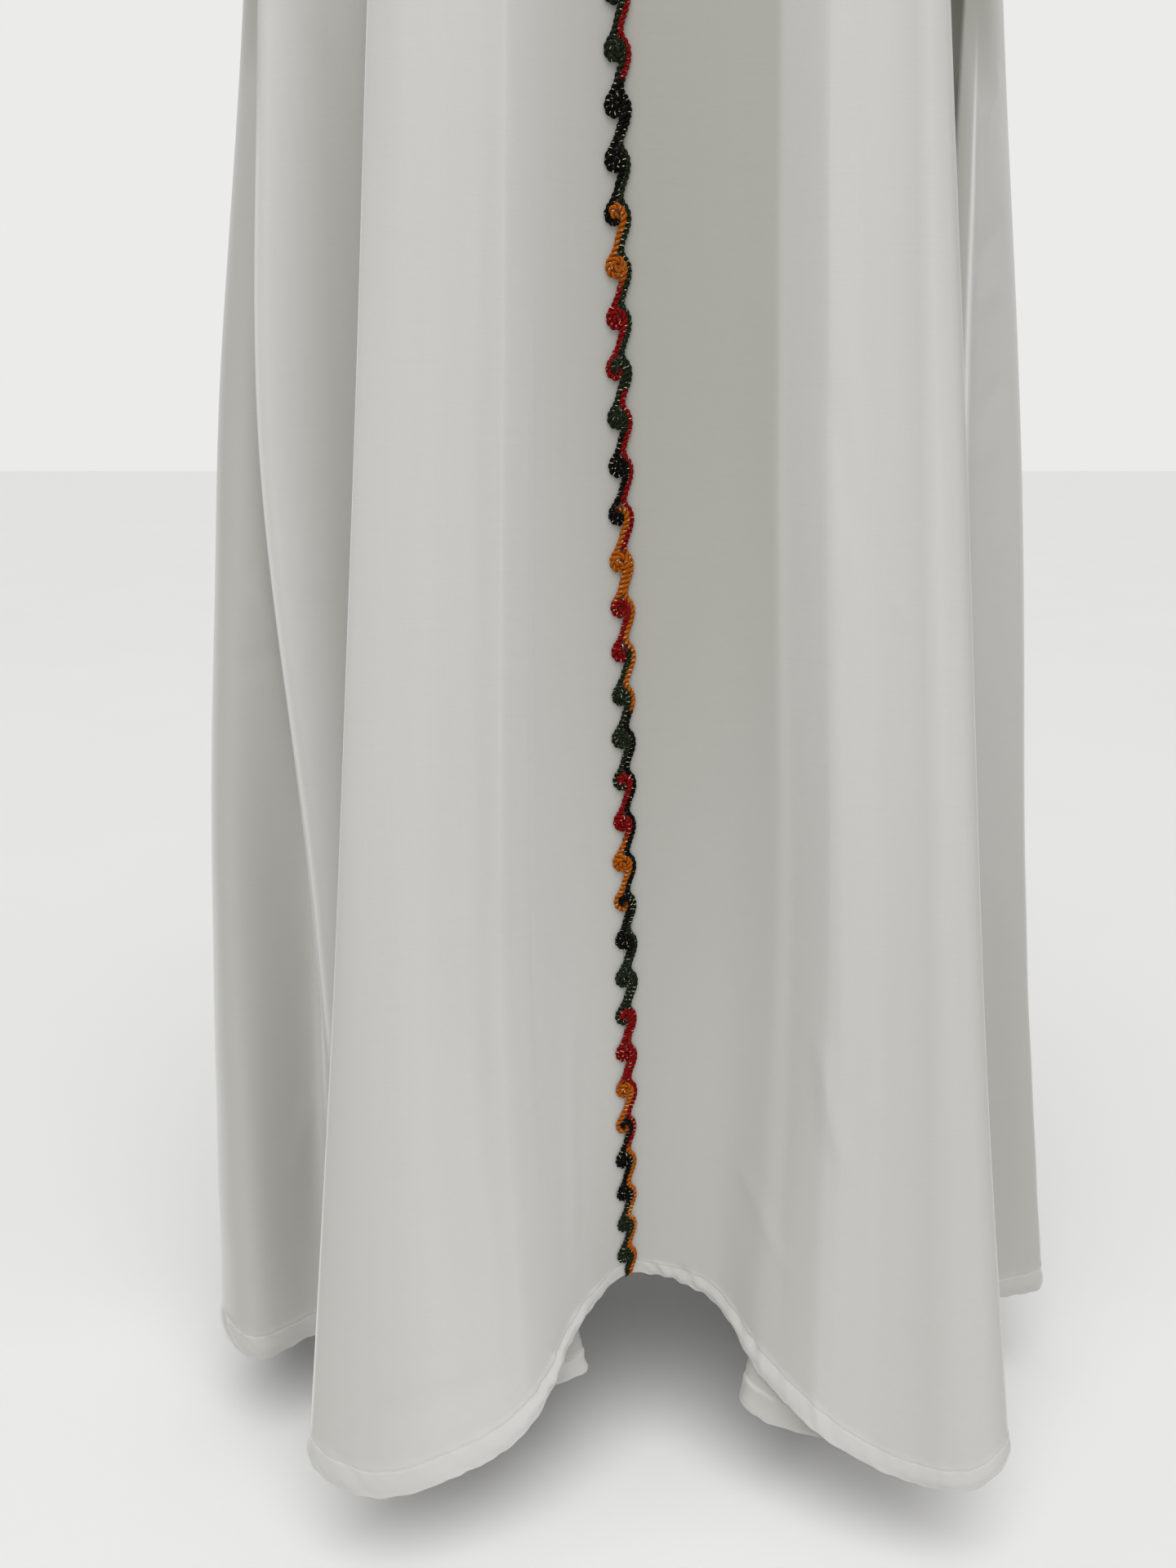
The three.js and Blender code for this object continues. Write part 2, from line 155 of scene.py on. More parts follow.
FRONT_CREASES = [
    # long pressed folds down the length
    Crease(-1.97, 40, -2.12, 1500, 30, 1.5, 1.5, 0),
    Crease(-1.57, 300, -1.62, 1250, 8, 1, 0.45, 1),
    Crease(-1.0, 980, -1.1, 1340, 12, 2, 0.9, 0),
    Crease(2.82, 40, 3.15, 1500, 20, 1.5, -1.3, 0),
    Crease(3.76, 40, 3.95, 1500, 22, 1.5, 1.3, 0),
    Crease(4.55, 120, 4.45, 1450, 18, 3, -0.9, 2),
    Crease(5.35, 420, 5.2, 1400, 14, 3, -0.8, -2),
    Crease(-3.3, 90, -3.4, 1420, 24, 5, 0.8, 2),
    # soft dents and drags on the broad faces
    Crease(3.62, 1000, 4.12, 1127, 18, 2.5, 1.9, -4),
    Crease(4.3, 1070, 4.65, 1050, 9, 2, 0.9, 2),
    Crease(4.76, 640, 4.98, 662, 9, 2, 1.0, 0),
    Crease(3.7, 470, 4.2, 610, 16, 5, -0.8, 3),
    Crease(-2.6, 900, -1.9, 1080, 26, 9, -0.8, 5),
    Crease(-3.9, 1308, -2.2, 1322, 26, 8, -1.3, 4),
    Crease(2.2, 1180, 3.4, 1270, 20, 6, 0.9, 5),
    Crease(4.9, 1230, 5.7, 1236, 9, 2, 0.8, 1),
    # the edge of the layer behind, pressed through
    Crease(-4.25, 1222, -3.35, 1262, 7, 0.8, -0.75, -3),
    Crease(-3.42, 1260, -2.7, 1278, 7, 0.8, -0.55, -1),
    # the side strips
    Crease(-8.9, 600, -8.4, 655, 12, 3, 1.0, 2),
    Crease(-10.9, 640, -9.6, 690, 18, 4, 1.2, -3),
    Crease(-11.1, 720, -9.8, 700, 14, 4, -0.9, 2),
    Crease(-11.6, 900, -9.8, 1010, 20, 6, 0.9, 4),
    Crease(-10.4, 1220, -9.9, 1120, 12, 3, 0.9, 2),
    Crease(11.52, 290, 11.62, 560, 6, 0.6, 1.1, 0),
    Crease(11.7, 300, 12.5, 250, 12, 3, 1.5, 2),
    Crease(11.6, 400, 12.5, 352, 14, 3, -1.7, 2),
    Crease(11.62, 428, 12.4, 396, 11, 2, 1.7, -2),
    Crease(11.6, 520, 12.5, 474, 15, 3, -1.6, 3),
    Crease(11.62, 548, 12.3, 520, 10, 2, 1.5, -2),
    Crease(11.7, 640, 12.6, 590, 16, 4, 1.0, -3),
    Crease(11.9, 900, 12.5, 1010, 18, 6, 0.9, 3),
    # drags from the armholes and neck
    Crease(-4.6, 40, -1.8, 210, 22, 6, 1.6, 6),
    Crease(4.9, 50, 2.4, 220, 22, 6, 1.5, -6),
    Crease(-10.8, 150, -7.4, 330, 20, 6, 1.4, 8),
    Crease(11.0, 150, 8.4, 330, 20, 6, 1.4, -8),
    Crease(-0.9, 20, -0.6, 200, 14, 4, 0.9, 3),
    Crease(0.9, 20, 0.7, 200, 14, 4, 0.9, -3),
]

BACK_CREASES = [
    Crease(-3.3, 80, -3.6, 1450, 26, 5, 1.4, 3),
    Crease(-1.2, 60, -1.1, 1300, 24, 4, 1.2, -3),
    Crease(0.9, 140, 1.1, 1450, 26, 5, -1.2, 4),
    Crease(2.6, 60, 2.5, 1450, 26, 4, 1.4, 3),
    Crease(4.5, 100, 4.4, 1380, 24, 5, 1.2, -3),
    Crease(-4.9, 140, -2.8, 330, 20, 6, 1.6, 6),
    Crease(4.9, 150, 3.0, 320, 20, 6, 1.6, -6),
    Crease(-2.2, 30, -0.6, 190, 18, 5, 1.3, 5),
    Crease(2.3, 40, 0.9, 200, 18, 5, 1.2, -5),
    Crease(-2.4, 600, -1.5, 740, 18, 5, -1.3, 4),
    Crease(1.4, 700, 2.3, 800, 18, 5, 1.3, -4),
    Crease(3.2, 900, 4.2, 1010, 18, 5, 1.2, 4),
    Crease(-4.6, 980, -3.4, 1090, 18, 5, 1.2, -4),
    Crease(-0.7, 1050, 0.4, 1160, 16, 5, 1.1, 4),
    Crease(5.2, 420, 5.8, 560, 14, 4, 1.3, 3),
    Crease(-5.7, 480, -5.1, 620, 14, 4, 1.3, -3),
]

# Painted shade on the fronts: how much of the dark open inside is painted as showing through,
# as a darker, warmer cream that also stands for the shade deep in the folds, from 0 where one
# layer lies behind another to 1 where one layer hangs alone, at the chest and at the hem.
Lone = namedtuple("Lone", "line chest hem")

LONE_LAYER_SHADE = [
    Lone(-13, 0.5, 0.7),
    Lone(-10.9, 0.65, 0.62),
    Lone(-9.1, 0.55, 0.4),
    Lone(-8.8, 0.0, 0.35),
    Lone(-8.55, 0.3, 0.38),
    Lone(-8.3, 0.65, 0.6),
    Lone(-5.1, 0.8, 0.7),
    Lone(-4.8, 0.1, 0.5),
    Lone(-3.8, 0.18, 0.35),
    Lone(-2.9, 0.04, 0.05),
    Lone(-2.02, 0.0, 0.05),
    Lone(-1.9, 0.2, 0.2),
    Lone(-1.0, 0.6, 0.35),
    Lone(-0.1, 0.82, 0.55),
    Lone(0.1, 0.93, 0.7),
    Lone(2.75, 0.88, 0.6),
    Lone(2.88, 0.42, 0.5),
    Lone(3.68, 0.22, 0.45),
    Lone(3.84, 0.0, 0.2),
    Lone(4.5, 0.06, 0.25),
    Lone(5.3, 0.28, 0.42),
    Lone(5.7, 0.0, 0.3),
    Lone(6.3, 0.08, 0.25),
    Lone(7.0, 0.6, 0.6),
    Lone(11.2, 0.8, 0.6),
    Lone(11.7, 0.33, 0.52),
    Lone(13, 0.3, 0.65),
]

# Painted highlights along the edges of folds: pale lines blended towards the sheen colour.
HighlitEdge = namedtuple("HighlitEdge", "line down to_down width strength")

PAINTED_EDGE_HIGHLIGHTS = [
    HighlitEdge(-4.87, 60, 1385, 0.035, 1.0),
    HighlitEdge(-8.96, 300, 1100, 0.05, 0.55),
    HighlitEdge(-2.0, 60, 900, 0.02, 0.12),
    HighlitEdge(-1.57, 420, 1000, 0.015, 0.08),
    HighlitEdge(3.8, 60, 950, 0.02, 0.08),
    HighlitEdge(11.52, 260, 620, 0.04, 0.9),
]

# How much painted highlight the two layers of the fronts' hem get (whiter than one layer, and
# brighter on the slopes that catch more light), how far its edge is drawn up, and the part
# of the full hem depth that is turned up there.
HemPlace = namedtuple("HemPlace", "line light lift depth")

HEM_PLACES = [
    HemPlace(-13, 0.3, 0, 1.0),
    HemPlace(-12.2, 0.4, 4, 1.0),
    HemPlace(-11, 0.3, 0, 1.0),
    HemPlace(-7.5, 0.3, 0, 1.0),
    HemPlace(-7.1, 0.8, 16, 0.9),
    HemPlace(-6.8, 0.9, 10, 0.8),
    HemPlace(-6.4, 0.6, 0, 0.8),
    HemPlace(-5.0, 0.45, 4, 1.0),
    HemPlace(-4.6, 0.25, 0, 1.0),
    HemPlace(-3.4, 0.25, -1, 1.0),
    HemPlace(-2.6, 0.5, 0, 1.05),
    HemPlace(-1.9, 0.9, 2, 1.1),
    HemPlace(-1.2, 0.75, -1, 0.9),
    HemPlace(-0.6, 0.35, 0, 0.65),
    HemPlace(0.0, 0.45, 0, 0.6),
    HemPlace(0.8, 0.25, 0, 0.65),
    HemPlace(2.2, 0.15, 0, 0.85),
    HemPlace(3.0, 0.7, -1, 1.1),
    HemPlace(3.9, 0.9, 0, 1.0),
    HemPlace(4.6, 0.4, 1, 0.8),
    HemPlace(5.6, 0.12, 0, 0.75),
    HemPlace(6.9, 0.2, 2, 0.8),
    HemPlace(8.6, 0.1, 0, 1.0),
    HemPlace(9.0, 0.1, 9, 1.0),
    HemPlace(9.4, 0.1, 0, 1.0),
    HemPlace(11.6, 0.45, 0, 0.9),
    HemPlace(12.1, 0.3, -2, 0.9),
    HemPlace(12.8, 0.3, 2, 1.0),
    HemPlace(13, 0.3, 4, 1.0),
]

# On a sleeve the first number is eighths of the way round from under the arm, over
# the front, and the second is millimetres from the armhole.
SLEEVE_CREASES = [
    Crease(0.7, 20, 1.6, 540, 26, 7, 2.2, 6),
    Crease(2.3, 0, 2.9, 560, 24, 6, 1.6, -5),
    Crease(3.7, 10, 4.2, 500, 26, 7, 1.8, 5),
    Crease(5.3, 20, 5.0, 560, 26, 6, 1.7, -5),
    Crease(6.9, 10, 6.3, 540, 26, 7, 2.1, 5),
    Crease(1.1, 8, 2.6, 130, 20, 5, 1.9, 6),
    Crease(1.9, 8, 3.5, 90, 16, 4, 1.5, 5),
    Crease(6.9, 8, 5.4, 140, 20, 5, 1.9, -6),
    Crease(6.1, 8, 4.6, 95, 16, 4, 1.4, -5),
    Crease(1.2, 250, 2.8, 320, 18, 5, -1.6, 6),
    Crease(6.7, 270, 5.3, 330, 18, 5, -1.6, -6),
    Crease(1.4, 410, 2.5, 450, 14, 4, 1.3, 5),
]

# ---------------------------------------------------------------- braid
#
# Two twisted cords. One place is given as millimetres right of the braid's middle and
# millimetres down from the knot's middle; the third is the rise over the cloth.

LAST_KNOT = 28  # counted down from the first one below the chest
LAST_KNOT_UP = 20.5  # from the hem's edge to the last knot's middle
DRAWN_IN_FROM = 25.6  # knots below this one are sewn closer together,
DRAWN_IN = 0.053  # by this part of a repeat

Lean = namedtuple("Lean", "knot right down")
LEANS = [  # how far the braid wanders from the seam, and along it
    Lean(-8, 0.0, 0.0),
    Lean(0, -1.2, 1.5),
    Lean(2, -1.1, 0.4),
    Lean(4, -1.1, 0.0),
    Lean(8, 0.1, -0.9),
    Lean(10, 0.8, 0.0),
    Lean(13, 1.5, 0.0),
    Lean(17, 1.2, 0.0),
    Lean(20, 1.8, -0.3),
    Lean(24, 0.1, 0.0),
    Lean(26, -0.7, -0.4),
    Lean(28, -0.5, -2.4),
]

BraidPoint = namedtuple("BraidPoint", "right down rise")

# The curling cord comes in down the left of the curl, turns in to its middle, and goes
# out again over the top and down the right.
CURL = [
    BraidPoint(-2.2, -13.4, 0.0),
    BraidPoint(-4.0, -9.4, 0.0),
    BraidPoint(-6.8, -5.2, 0.0),
    BraidPoint(-7.7, -0.8, 0.0),
    BraidPoint(-5.9, 3.2, 0.0),
    BraidPoint(-2.1, 4.8, 0.0),
    BraidPoint(1.1, 2.8, 0.1),
    BraidPoint(1.2, 0.1, 0.5),
    BraidPoint(-1.6, -0.2, 1.1),
    BraidPoint(-4.1, -1.4, 1.6),
    BraidPoint(-4.3, -4.2, 1.8),
    BraidPoint(-1.8, -6.5, 1.6),
    BraidPoint(1.7, -5.8, 1.5),
    BraidPoint(3.9, -2.3, 1.5),
    BraidPoint(4.2, 1.9, 1.5),
    BraidPoint(3.3, 6.0, 1.0),
    BraidPoint(1.8, 10.6, 0.4),
    BraidPoint(0.3, 15.2, 0.0),
    BraidPoint(-0.4, 18.9, 0.0),
]
WAVE = [
    BraidPoint(1.9, -13.2, 0.9),
    BraidPoint(3.2, -8.8, 0.5),
    BraidPoint(6.5, -4.6, 0.0),
    BraidPoint(7.6, 0.2, 0.0),
    BraidPoint(7.3, 4.6, 0.0),
    BraidPoint(6.1, 9.4, 0.0),
    BraidPoint(4.2, 14.4, 0.3),
    BraidPoint(2.9, 18.4, 0.6),
]

# Where each dye starts along a cord, in repeats from the first knot in front.
Dye = namedtuple("Dye", "start colour")

CURL_DYES = [
    Dye(-6.0, "black"),
    Dye(-4.6, "orange"),
    Dye(-3.0, "red"),
    Dye(-1.6, "green"),
    Dye(0.6, "black"),
    Dye(3.0, "orange"),
    Dye(4.45, "red"),
    Dye(6.0, "green"),
    Dye(7.45, "black"),
    Dye(9.22, "orange"),
    Dye(10.7, "red"),
    Dye(12.25, "green"),
    Dye(15.0, "red"),
    Dye(16.5, "orange"),
    Dye(18.0, "black"),
    Dye(19.5, "green"),
    Dye(21.02, "red"),
    Dye(22.7, "orange"),
    Dye(24.02, "black"),
    Dye(26.5, "green"),
]
WAVE_DYES = [
    Dye(-6.0, "green"),
    Dye(-3.4, "red"),
    Dye(0.5, "black"),
    Dye(1.6, "green"),
    Dye(6.4, "red"),
    Dye(9.75, "orange"),
    Dye(13.3, "black"),
    Dye(17.8, "green"),
    Dye(20.8, "red"),
    Dye(24.6, "orange"),
]


# ---------------------------------------------------------------- cloth surfaces


def mix(low, high, share):
    return low + (high - low) * share


def smoothstep(low, high, value):
    share = np.clip((value - low) / (high - low), 0.0, 1.0)
    return share * share * (3 - 2 * share)


def unit(vectors):
    return vectors / np.maximum(np.linalg.norm(vectors, axis=-1, keepdims=True), 1e-9)


def top_edge(share, side, is_front):
    """The round neckline, then the shoulder seam."""
    turn = np.minimum(share / NECK_SHARE, 1.0) * math.pi / 2
    middle_y, middle_z = NECK_FRONT if is_front else NECK_BACK
    neck = np.stack(
        [
            side * NECK_SIDE[0] * np.sin(turn),
            mix(NECK_SIDE[1], middle_y, np.cos(turn)),
            mix(NECK_SIDE[2], middle_z, np.abs(np.cos(turn)) ** NECK_ROUNDNESS),
        ],
        axis=-1,
    )
    along = np.clip((share - NECK_SHARE) / (1 - NECK_SHARE), 0.0, 1.0)
    shoulder = np.stack(
        [
            side * mix(NECK_SIDE[0], SHOULDER[0], along),
            mix(NECK_SIDE[1], SHOULDER[1], along),
            mix(NECK_SIDE[2], SHOULDER[2], along) + SHOULDER_RISE * np.sin(math.pi * along),
        ],
        axis=-1,
    )
    return np.where((share < NECK_SHARE)[..., None], neck, shoulder)


def fold_line(fold, is_front):
    """The six points that a fold line passes."""
    side = np.sign(fold.chest_x) or 1.0
    top = top_edge(np.array(fold.share), side, is_front)
    chest = np.array([fold.chest_x, fold.chest_y, CHEST_Z])
    yoke = (top + chest) / 2
    fullness = math.sin(math.pi / 2 * min(1.0, fold.share / NECK_SHARE))
    out = YOKE_LEAST + (YOKE_FRONT if is_front else YOKE_BACK) * fullness
    yoke[1] += (-1 if is_front else 1) * (out + YOKE_ARMHOLE * fold.share**6)
    yoke[0] -= side * YOKE_NARROWING * max(0.0, (fold.share - 0.55) / 0.45) ** 1.2
    return np.array(
        [
            top,
            yoke,
            chest,
            [fold.hip_x, fold.hip_y, HIP_Z],
            [fold.knee_x, fold.knee_y, KNEE_Z],
            [fold.hem_x, fold.hem_y, fold.hem_z],
        ]
    )


def line_slopes(lines):
    """Slopes at the knots: harmonic means, and from the chest down a free fall."""
    spans = np.diff(lines, axis=1) / np.diff(KNOTS)[None, :, None]
    slopes = np.zeros_like(lines)
    slopes[:, 0] = spans[:, 0]
    slopes[:, -1] = spans[:, -1]
    before, after = spans[:, :-1], spans[:, 1:]
    product = before * after
    total = before + after
    total[product <= 0] = 1.0
    slopes[:, 1:-1] = np.where(product > 0, 2 * product / total, 0.0)
    slopes[:, CHEST_KNOT] = spans[:, CHEST_KNOT]
    return slopes


def hermite(start, end, leave, arrive, t):
    return (
        (2 * t**3 - 3 * t**2 + 1) * start
        + (t**3 - 2 * t**2 + t) * leave
        + (3 * t**2 - 2 * t**3) * end
        + (t**3 - t**2) * arrive
    )


LEAST_STEP = 1e-6  # keeps fold lines that meet from dividing by nothing


class Cloth:
    """A surface through fold lines, addressed by line number and millimetres down."""

    def __init__(self, folds, is_front):
        self.is_front = is_front
        self.shares = np.array([(np.sign(fold.chest_x) or 1.0) * fold.share for fold in folds])
        self.inside = [fold_line(fold, is_front) for fold in folds]
        self.count = len(folds)

    def join(self, before, after):
        """One more line at each end, so that the edge turns smoothly into the next panel."""
        first, last = before.copy(), after.copy()
        first[:2] = 2 * self.inside[0][:2] - self.inside[1][:2]
        last[:2] = 2 * self.inside[-1][:2] - self.inside[-2][:2]
        self.lines = np.array([first, *self.inside, last])
        self.slopes = line_slopes(self.lines)

    def along(self, number, down):
        knot = np.clip(np.searchsorted(KNOTS, down, side="right") - 1, 0, len(KNOTS) - 2)
        length = (KNOTS[knot + 1] - KNOTS[knot])[..., None]
        t = (down - KNOTS[knot])[..., None] / length
        leave = self.slopes[number, knot] * length
        arrive = self.slopes[number, knot + 1] * length
        return hermite(self.lines[number, knot], self.lines[number, knot + 1], leave, arrive, t)

    def on_ring(self, across, down):
        number = np.clip(np.floor(across).astype(int), 0, self.count - 2)
        a, b, c, d = (self.along(number + step, down) for step in range(4))
        before, here, after = (
            np.sqrt(np.linalg.norm(end - start, axis=-1, keepdims=True)) + LEAST_STEP
            for start, end in ((a, b), (b, c), (c, d))
        )
        leave = ((b - a) / before - (c - a) / (before + here) + (c - b) / here) * here
        arrive = ((c - b) / here - (d - b) / (here + after) + (d - c) / after) * here
        return hermite(b, c, leave, arrive, (across - number)[..., None])

    def point(self, across, down):
        points = self.on_ring(across, down)
        share = np.interp(across, np.arange(self.count), self.shares)
        edge = top_edge(np.abs(share), np.sign(share), self.is_front)
        pull = 1 - smoothstep(0.0, YOKE_DOWN, down)
        return points + (edge - self.on_ring(across, np.zeros_like(down))) * pull[..., None]


FRONT_FOLDS = [*reversed(LEFT_FRONT), *RIGHT_FRONT[1:]]
FRONT = Cloth(FRONT_FOLDS, True)
REAR = Cloth(BACK, False)
FRONT.join(REAR.inside[-2], REAR.inside[1])
REAR.join(FRONT.inside[-2], FRONT.inside[1])
FRONT_CENTRE = len(LEFT_FRONT) - 1
REAR_CENTRE = [fold.line for fold in BACK].index("centre")


def grid_normals(points, is_tube=False):
    """Outward normals of a grid whose rows run down and columns anticlockwise."""
    if is_tube:
        wide = np.concatenate([points[:, -1:], points, points[:, :1]], axis=1)
        along = np.gradient(wide, axis=1)[:, 1:-1]
    else:
        along = np.gradient(points, axis=1)
    return unit(np.cross(np.gradient(points, axis=0), along))


def grid_spread(points, centre):
    """Millimetres along each row from its centre column."""
    steps = np.linalg.norm(np.diff(points, axis=1), axis=-1)
    spread = np.concatenate([np.zeros((len(points), 1)), np.cumsum(steps, axis=1)], axis=1)
    return spread - spread[:, centre : centre + 1]


def crease_height(crease, start, end, spread, down):
    """Height of one crease at places on the cloth; start and end are (spread, down)."""
    run = np.subtract(end, start)
    length = math.hypot(*run)
    run = run / length
    right, below = spread - start[0], down - start[1]
    t = (right * run[0] + below * run[1]) / length
    held = np.clip(t, 0.0, 1.0)
    aside = right * run[1] - below * run[0] - crease.bow * np.sin(math.pi * held)
    beyond = (t - held) * length
    distance = np.sqrt(aside**2 + beyond**2 + crease.crisp**2) - crease.crisp
    near = np.clip(1 - distance / crease.reach, 0.0, 1.0)
    fade = smoothstep(0.0, 0.25, held) * smoothstep(0.0, 0.25, 1 - held)
    return crease.height * fade * near**2


def relief(creases, places, downs, spread):
    """Heights of all creases over a grid; places holds each column's line number."""
    down = np.broadcast_to(downs[:, None], spread.shape)
    total = np.zeros_like(spread)
    for crease in creases:
        ends = []
        for line, level in ((crease.line, crease.down), (crease.to_line, crease.to_down)):
            row = spread[np.abs(downs - level).argmin()]
            ends.append((np.interp(line, places, row), level))
        if places[0] - 1 < (crease.line + crease.to_line) / 2 < places[-1] + 1:
            total += crease_height(crease, *ends, spread, down)
    return total


def drift(spread, down, amount):
    """Slow unevenness of hanging cloth."""
    return amount * (
        0.5 * np.sin(spread / 31 + 0.8 * np.sin(down / 210))
        + 0.3 * np.sin(spread / 17 + down / 330 + 1.3)
        + 0.4 * np.sin(down / 96 + 1.7 * np.sin(spread / 70))
    )


def ripple(spread, phase):
    """Uneven gathers along a stitched hem, from -1 to 1."""
    return (
        0.45 * np.sin(spread / 3.1 + 2.2 * np.sin(spread / 23 + phase))
        + 0.35 * np.sin(spread / 5.3 + 1.7 * np.sin(spread / 41 + 2 * phase))
        + 0.3 * np.sin(spread / 11.7 + phase)
    )


# ---------------------------------------------------------------- meshes


def strip_faces(rows, cols, is_tube):
    """Corners of the faces of a grid that closes from its last row to its first."""
    last = cols if is_tube else cols - 1
    row, col = np.meshgrid(np.arange(rows), np.arange(last), indexing="ij")
    row, col = row.ravel(), col.ravel()
    corners = [(row, col), (row + 1, col), (row + 1, col + 1), (row, col + 1)]
    return np.stack([(r % rows) * cols + (c % cols) for r, c in corners], axis=1), corners


LIP_TURNS = (0.7, 1.57, 2.44)  # where the rounded lower edge has its rows
INSIDE_CUT = 4.0  # metres that the inside of the cloth is moved over, for other grain there


def sheet_piece(name, outer, inner, uv, shares, is_tube=False):
    """A closed sheet of cloth between two grids, with a rounded lower edge.

    uv holds metres across and down for each column and one more. shares holds the
    grids of 0 to 1 that the finish reads: "doubled_highlight", a painted highlight on the
    turned-up hem, "painted_lone_shade", painted shade where one layer hangs over the open
    inside, and "edge_highlight", painted highlights on the edges of folds."""
    rows, cols = outer.shape[:2]
    middle = (outer[-1] + inner[-1]) / 2
    half = (outer[-1] - inner[-1]) / 2
    beyond = unit(outer[-1] - outer[-2]) * np.linalg.norm(half, axis=-1, keepdims=True)
    lip = [middle + half * math.cos(turn) + beyond * math.sin(turn) for turn in LIP_TURNS]
    strip = np.concatenate([outer, lip, inner[::-1]])
    total = len(strip)
    faces, corners = strip_faces(total, cols, is_tube)

    lip_uv = np.repeat(uv[-1:], len(lip), axis=0)
    strip_uv = np.concatenate([uv, lip_uv, uv[::-1] + (INSIDE_CUT, 0.0)])
    last_row, last_col = total - 1, strip_uv.shape[1] - 1
    corner_uv = [strip_uv[np.minimum(r, last_row), np.minimum(c, last_col)] for r, c in corners]
    corner_uv = np.stack(corner_uv, axis=1).reshape(-1, 2)

    faces = faces.tolist()
    if not is_tube:
        caps = []
        for col, way in ((0, 1), (cols - 1, -1)):
            for row in range(rows - 1):
                ring = [row, total - 1 - row, total - 2 - row, row + 1]
                caps.append([r * cols + col for r in ring[::way]])
            ring = [rows - 1, *range(total - rows, rows - 1, -1)]
            caps.append([r * cols + col for r in ring[::way]])
        flat_uv = strip_uv[:, :cols].reshape(-1, 2)
        corner_uv = np.concatenate([corner_uv, flat_uv[[v for cap in caps for v in cap]]])
        faces += caps

    def over_strip(values):
        edge = np.repeat(values[-1:], len(lip), axis=0)
        return np.concatenate([values, edge, values[::-1]])

    mesh = bpy.data.meshes.new(name)
    mesh.from_pydata((strip.reshape(-1, 3) * MM).tolist(), [], faces)
    mesh.uv_layers.new(name="cut").data.foreach_set("uv", corner_uv.ravel())
    for name_of_share, values in shares.items():
        share = mesh.attributes.new(name_of_share, "FLOAT", "POINT")
        share.data.foreach_set("value", over_strip(values).ravel())
    return finish_piece(name, mesh)


def finish_piece(name, mesh):
    mesh.validate()
    mesh.polygons.foreach_set("use_smooth", [True] * len(mesh.polygons))
    mesh.update()
    piece = bpy.data.objects.new(name, mesh)
    bpy.context.scene.collection.objects.link(piece)
    return piece


def resample(path, step):
    """Points at even steps along a path, with the other columns carried along."""
    length = np.concatenate([[0.0], np.cumsum(np.linalg.norm(np.diff(path[:, :3], axis=0), axis=1))])
    count = max(2, int(length[-1] / step) + 1)
    at = np.linspace(0.0, length[-1], count)
    return np.stack([np.interp(at, length, path[:, i]) for i in range(path.shape[1])], axis=1)


# Rings of one stitch: place along it, thickness and rise, as parts of its length and width.
StitchRing = namedtuple("StitchRing", "share girth lift")

STITCH_RINGS = [
    StitchRing(-0.5, 0.35, -0.55),
    StitchRing(-0.36, 1.0, 0.15),
    StitchRing(0.0, 1.1, 0.35),
    StitchRing(0.36, 1.0, 0.15),
    StitchRing(0.5, 0.35, -0.55),
]
STITCH_SIDES = 6


def stitch_piece(name, rows_of_stitches, cloth):
    """Sewing stitches along paths of (x, y, z, normal x, y, z) on the cloth's face."""
    length, gap, width = cloth.stitch_length / MM, cloth.stitch_gap / MM, cloth.thread_width / MM
    sides = STITCH_SIDES
    turns = np.arange(sides) * 2 * math.pi / sides
    vertices, faces = [], []
    for path in rows_of_stitches:
        places = resample(path, length + gap)
        along = unit(np.gradient(places[:, :3], axis=0))
        normal = unit(places[:, 3:])
        aside = unit(np.cross(along, normal))
        for share, girth, lift in STITCH_RINGS:
            middle = places[:, :3] + along * length * share + normal * width * lift
            for turn in turns:
                out = aside * math.cos(turn) + normal * math.sin(turn)
                vertices.append(middle + out * width * girth / 2)
        rings, count = len(STITCH_RINGS), len(places)
        first = sum(len(part) for part in vertices) - rings * sides * count

        def vertex(ring, side, number, first=first, count=count):
            return first + (ring * sides + side % sides) * count + number

        corners = ((0, 0), (0, 1), (1, 1), (1, 0))
        quads = [
            [vertex(ring + below, side + beside, n) for below, beside in corners]
            for n in range(count)
            for ring in range(rings - 1)
            for side in range(sides)
        ]
        ends = [[vertex(0, side, n) for side in reversed(range(sides))] for n in range(count)]
        ends += [[vertex(rings - 1, side, n) for side in range(sides)] for n in range(count)]
        faces.append(quads + ends)
    mesh = bpy.data.meshes.new(name)
    mesh.from_pydata((np.concatenate(vertices) * MM).tolist(), [], [face for part in faces for face in part])
    return finish_piece(name, mesh)


# Rows of a panel: down from the top edge, beside the hem's stitches, and up from its edge.
TOP_ROWS = np.array([0, 0.8, 1.8, 3, 4.2, 5.2, 6, 6.8, 7.8, 9, 11, 15, 19])
GROOVE_ROWS = np.array([-9, -6, -4, -2.4, -1.2, 0, 1.2, 2.4, 4, 6.5])
HEM_ROWS = np.array([14, 11.5, 9, 6.5, 4, 2, 0.8, 0])
FACE_ROWS = 164
FACE_STARTS_DOWN = 24.0
FACE_ENDS_ABOVE_HEM = 12.0
COLUMNS_PER_FOLD = 14
SEAM_COLUMNS = np.array([0.0, 0.013, 0.03])
EDGE_COLUMNS = np.array([-1.6, -0.8, 0.0, 0.8, 1.6])


def steps_down(cloth):
    """Rows of a panel: close together at the top edge and along the hem."""
    hem = HEM_DOWN - cloth.hem_depth / MM
    face = np.linspace(FACE_STARTS_DOWN, hem - FACE_ENDS_ABOVE_HEM, FACE_ROWS)
    return np.concatenate([TOP_ROWS, face, hem + GROOVE_ROWS, HEM_DOWN - HEM_ROWS])


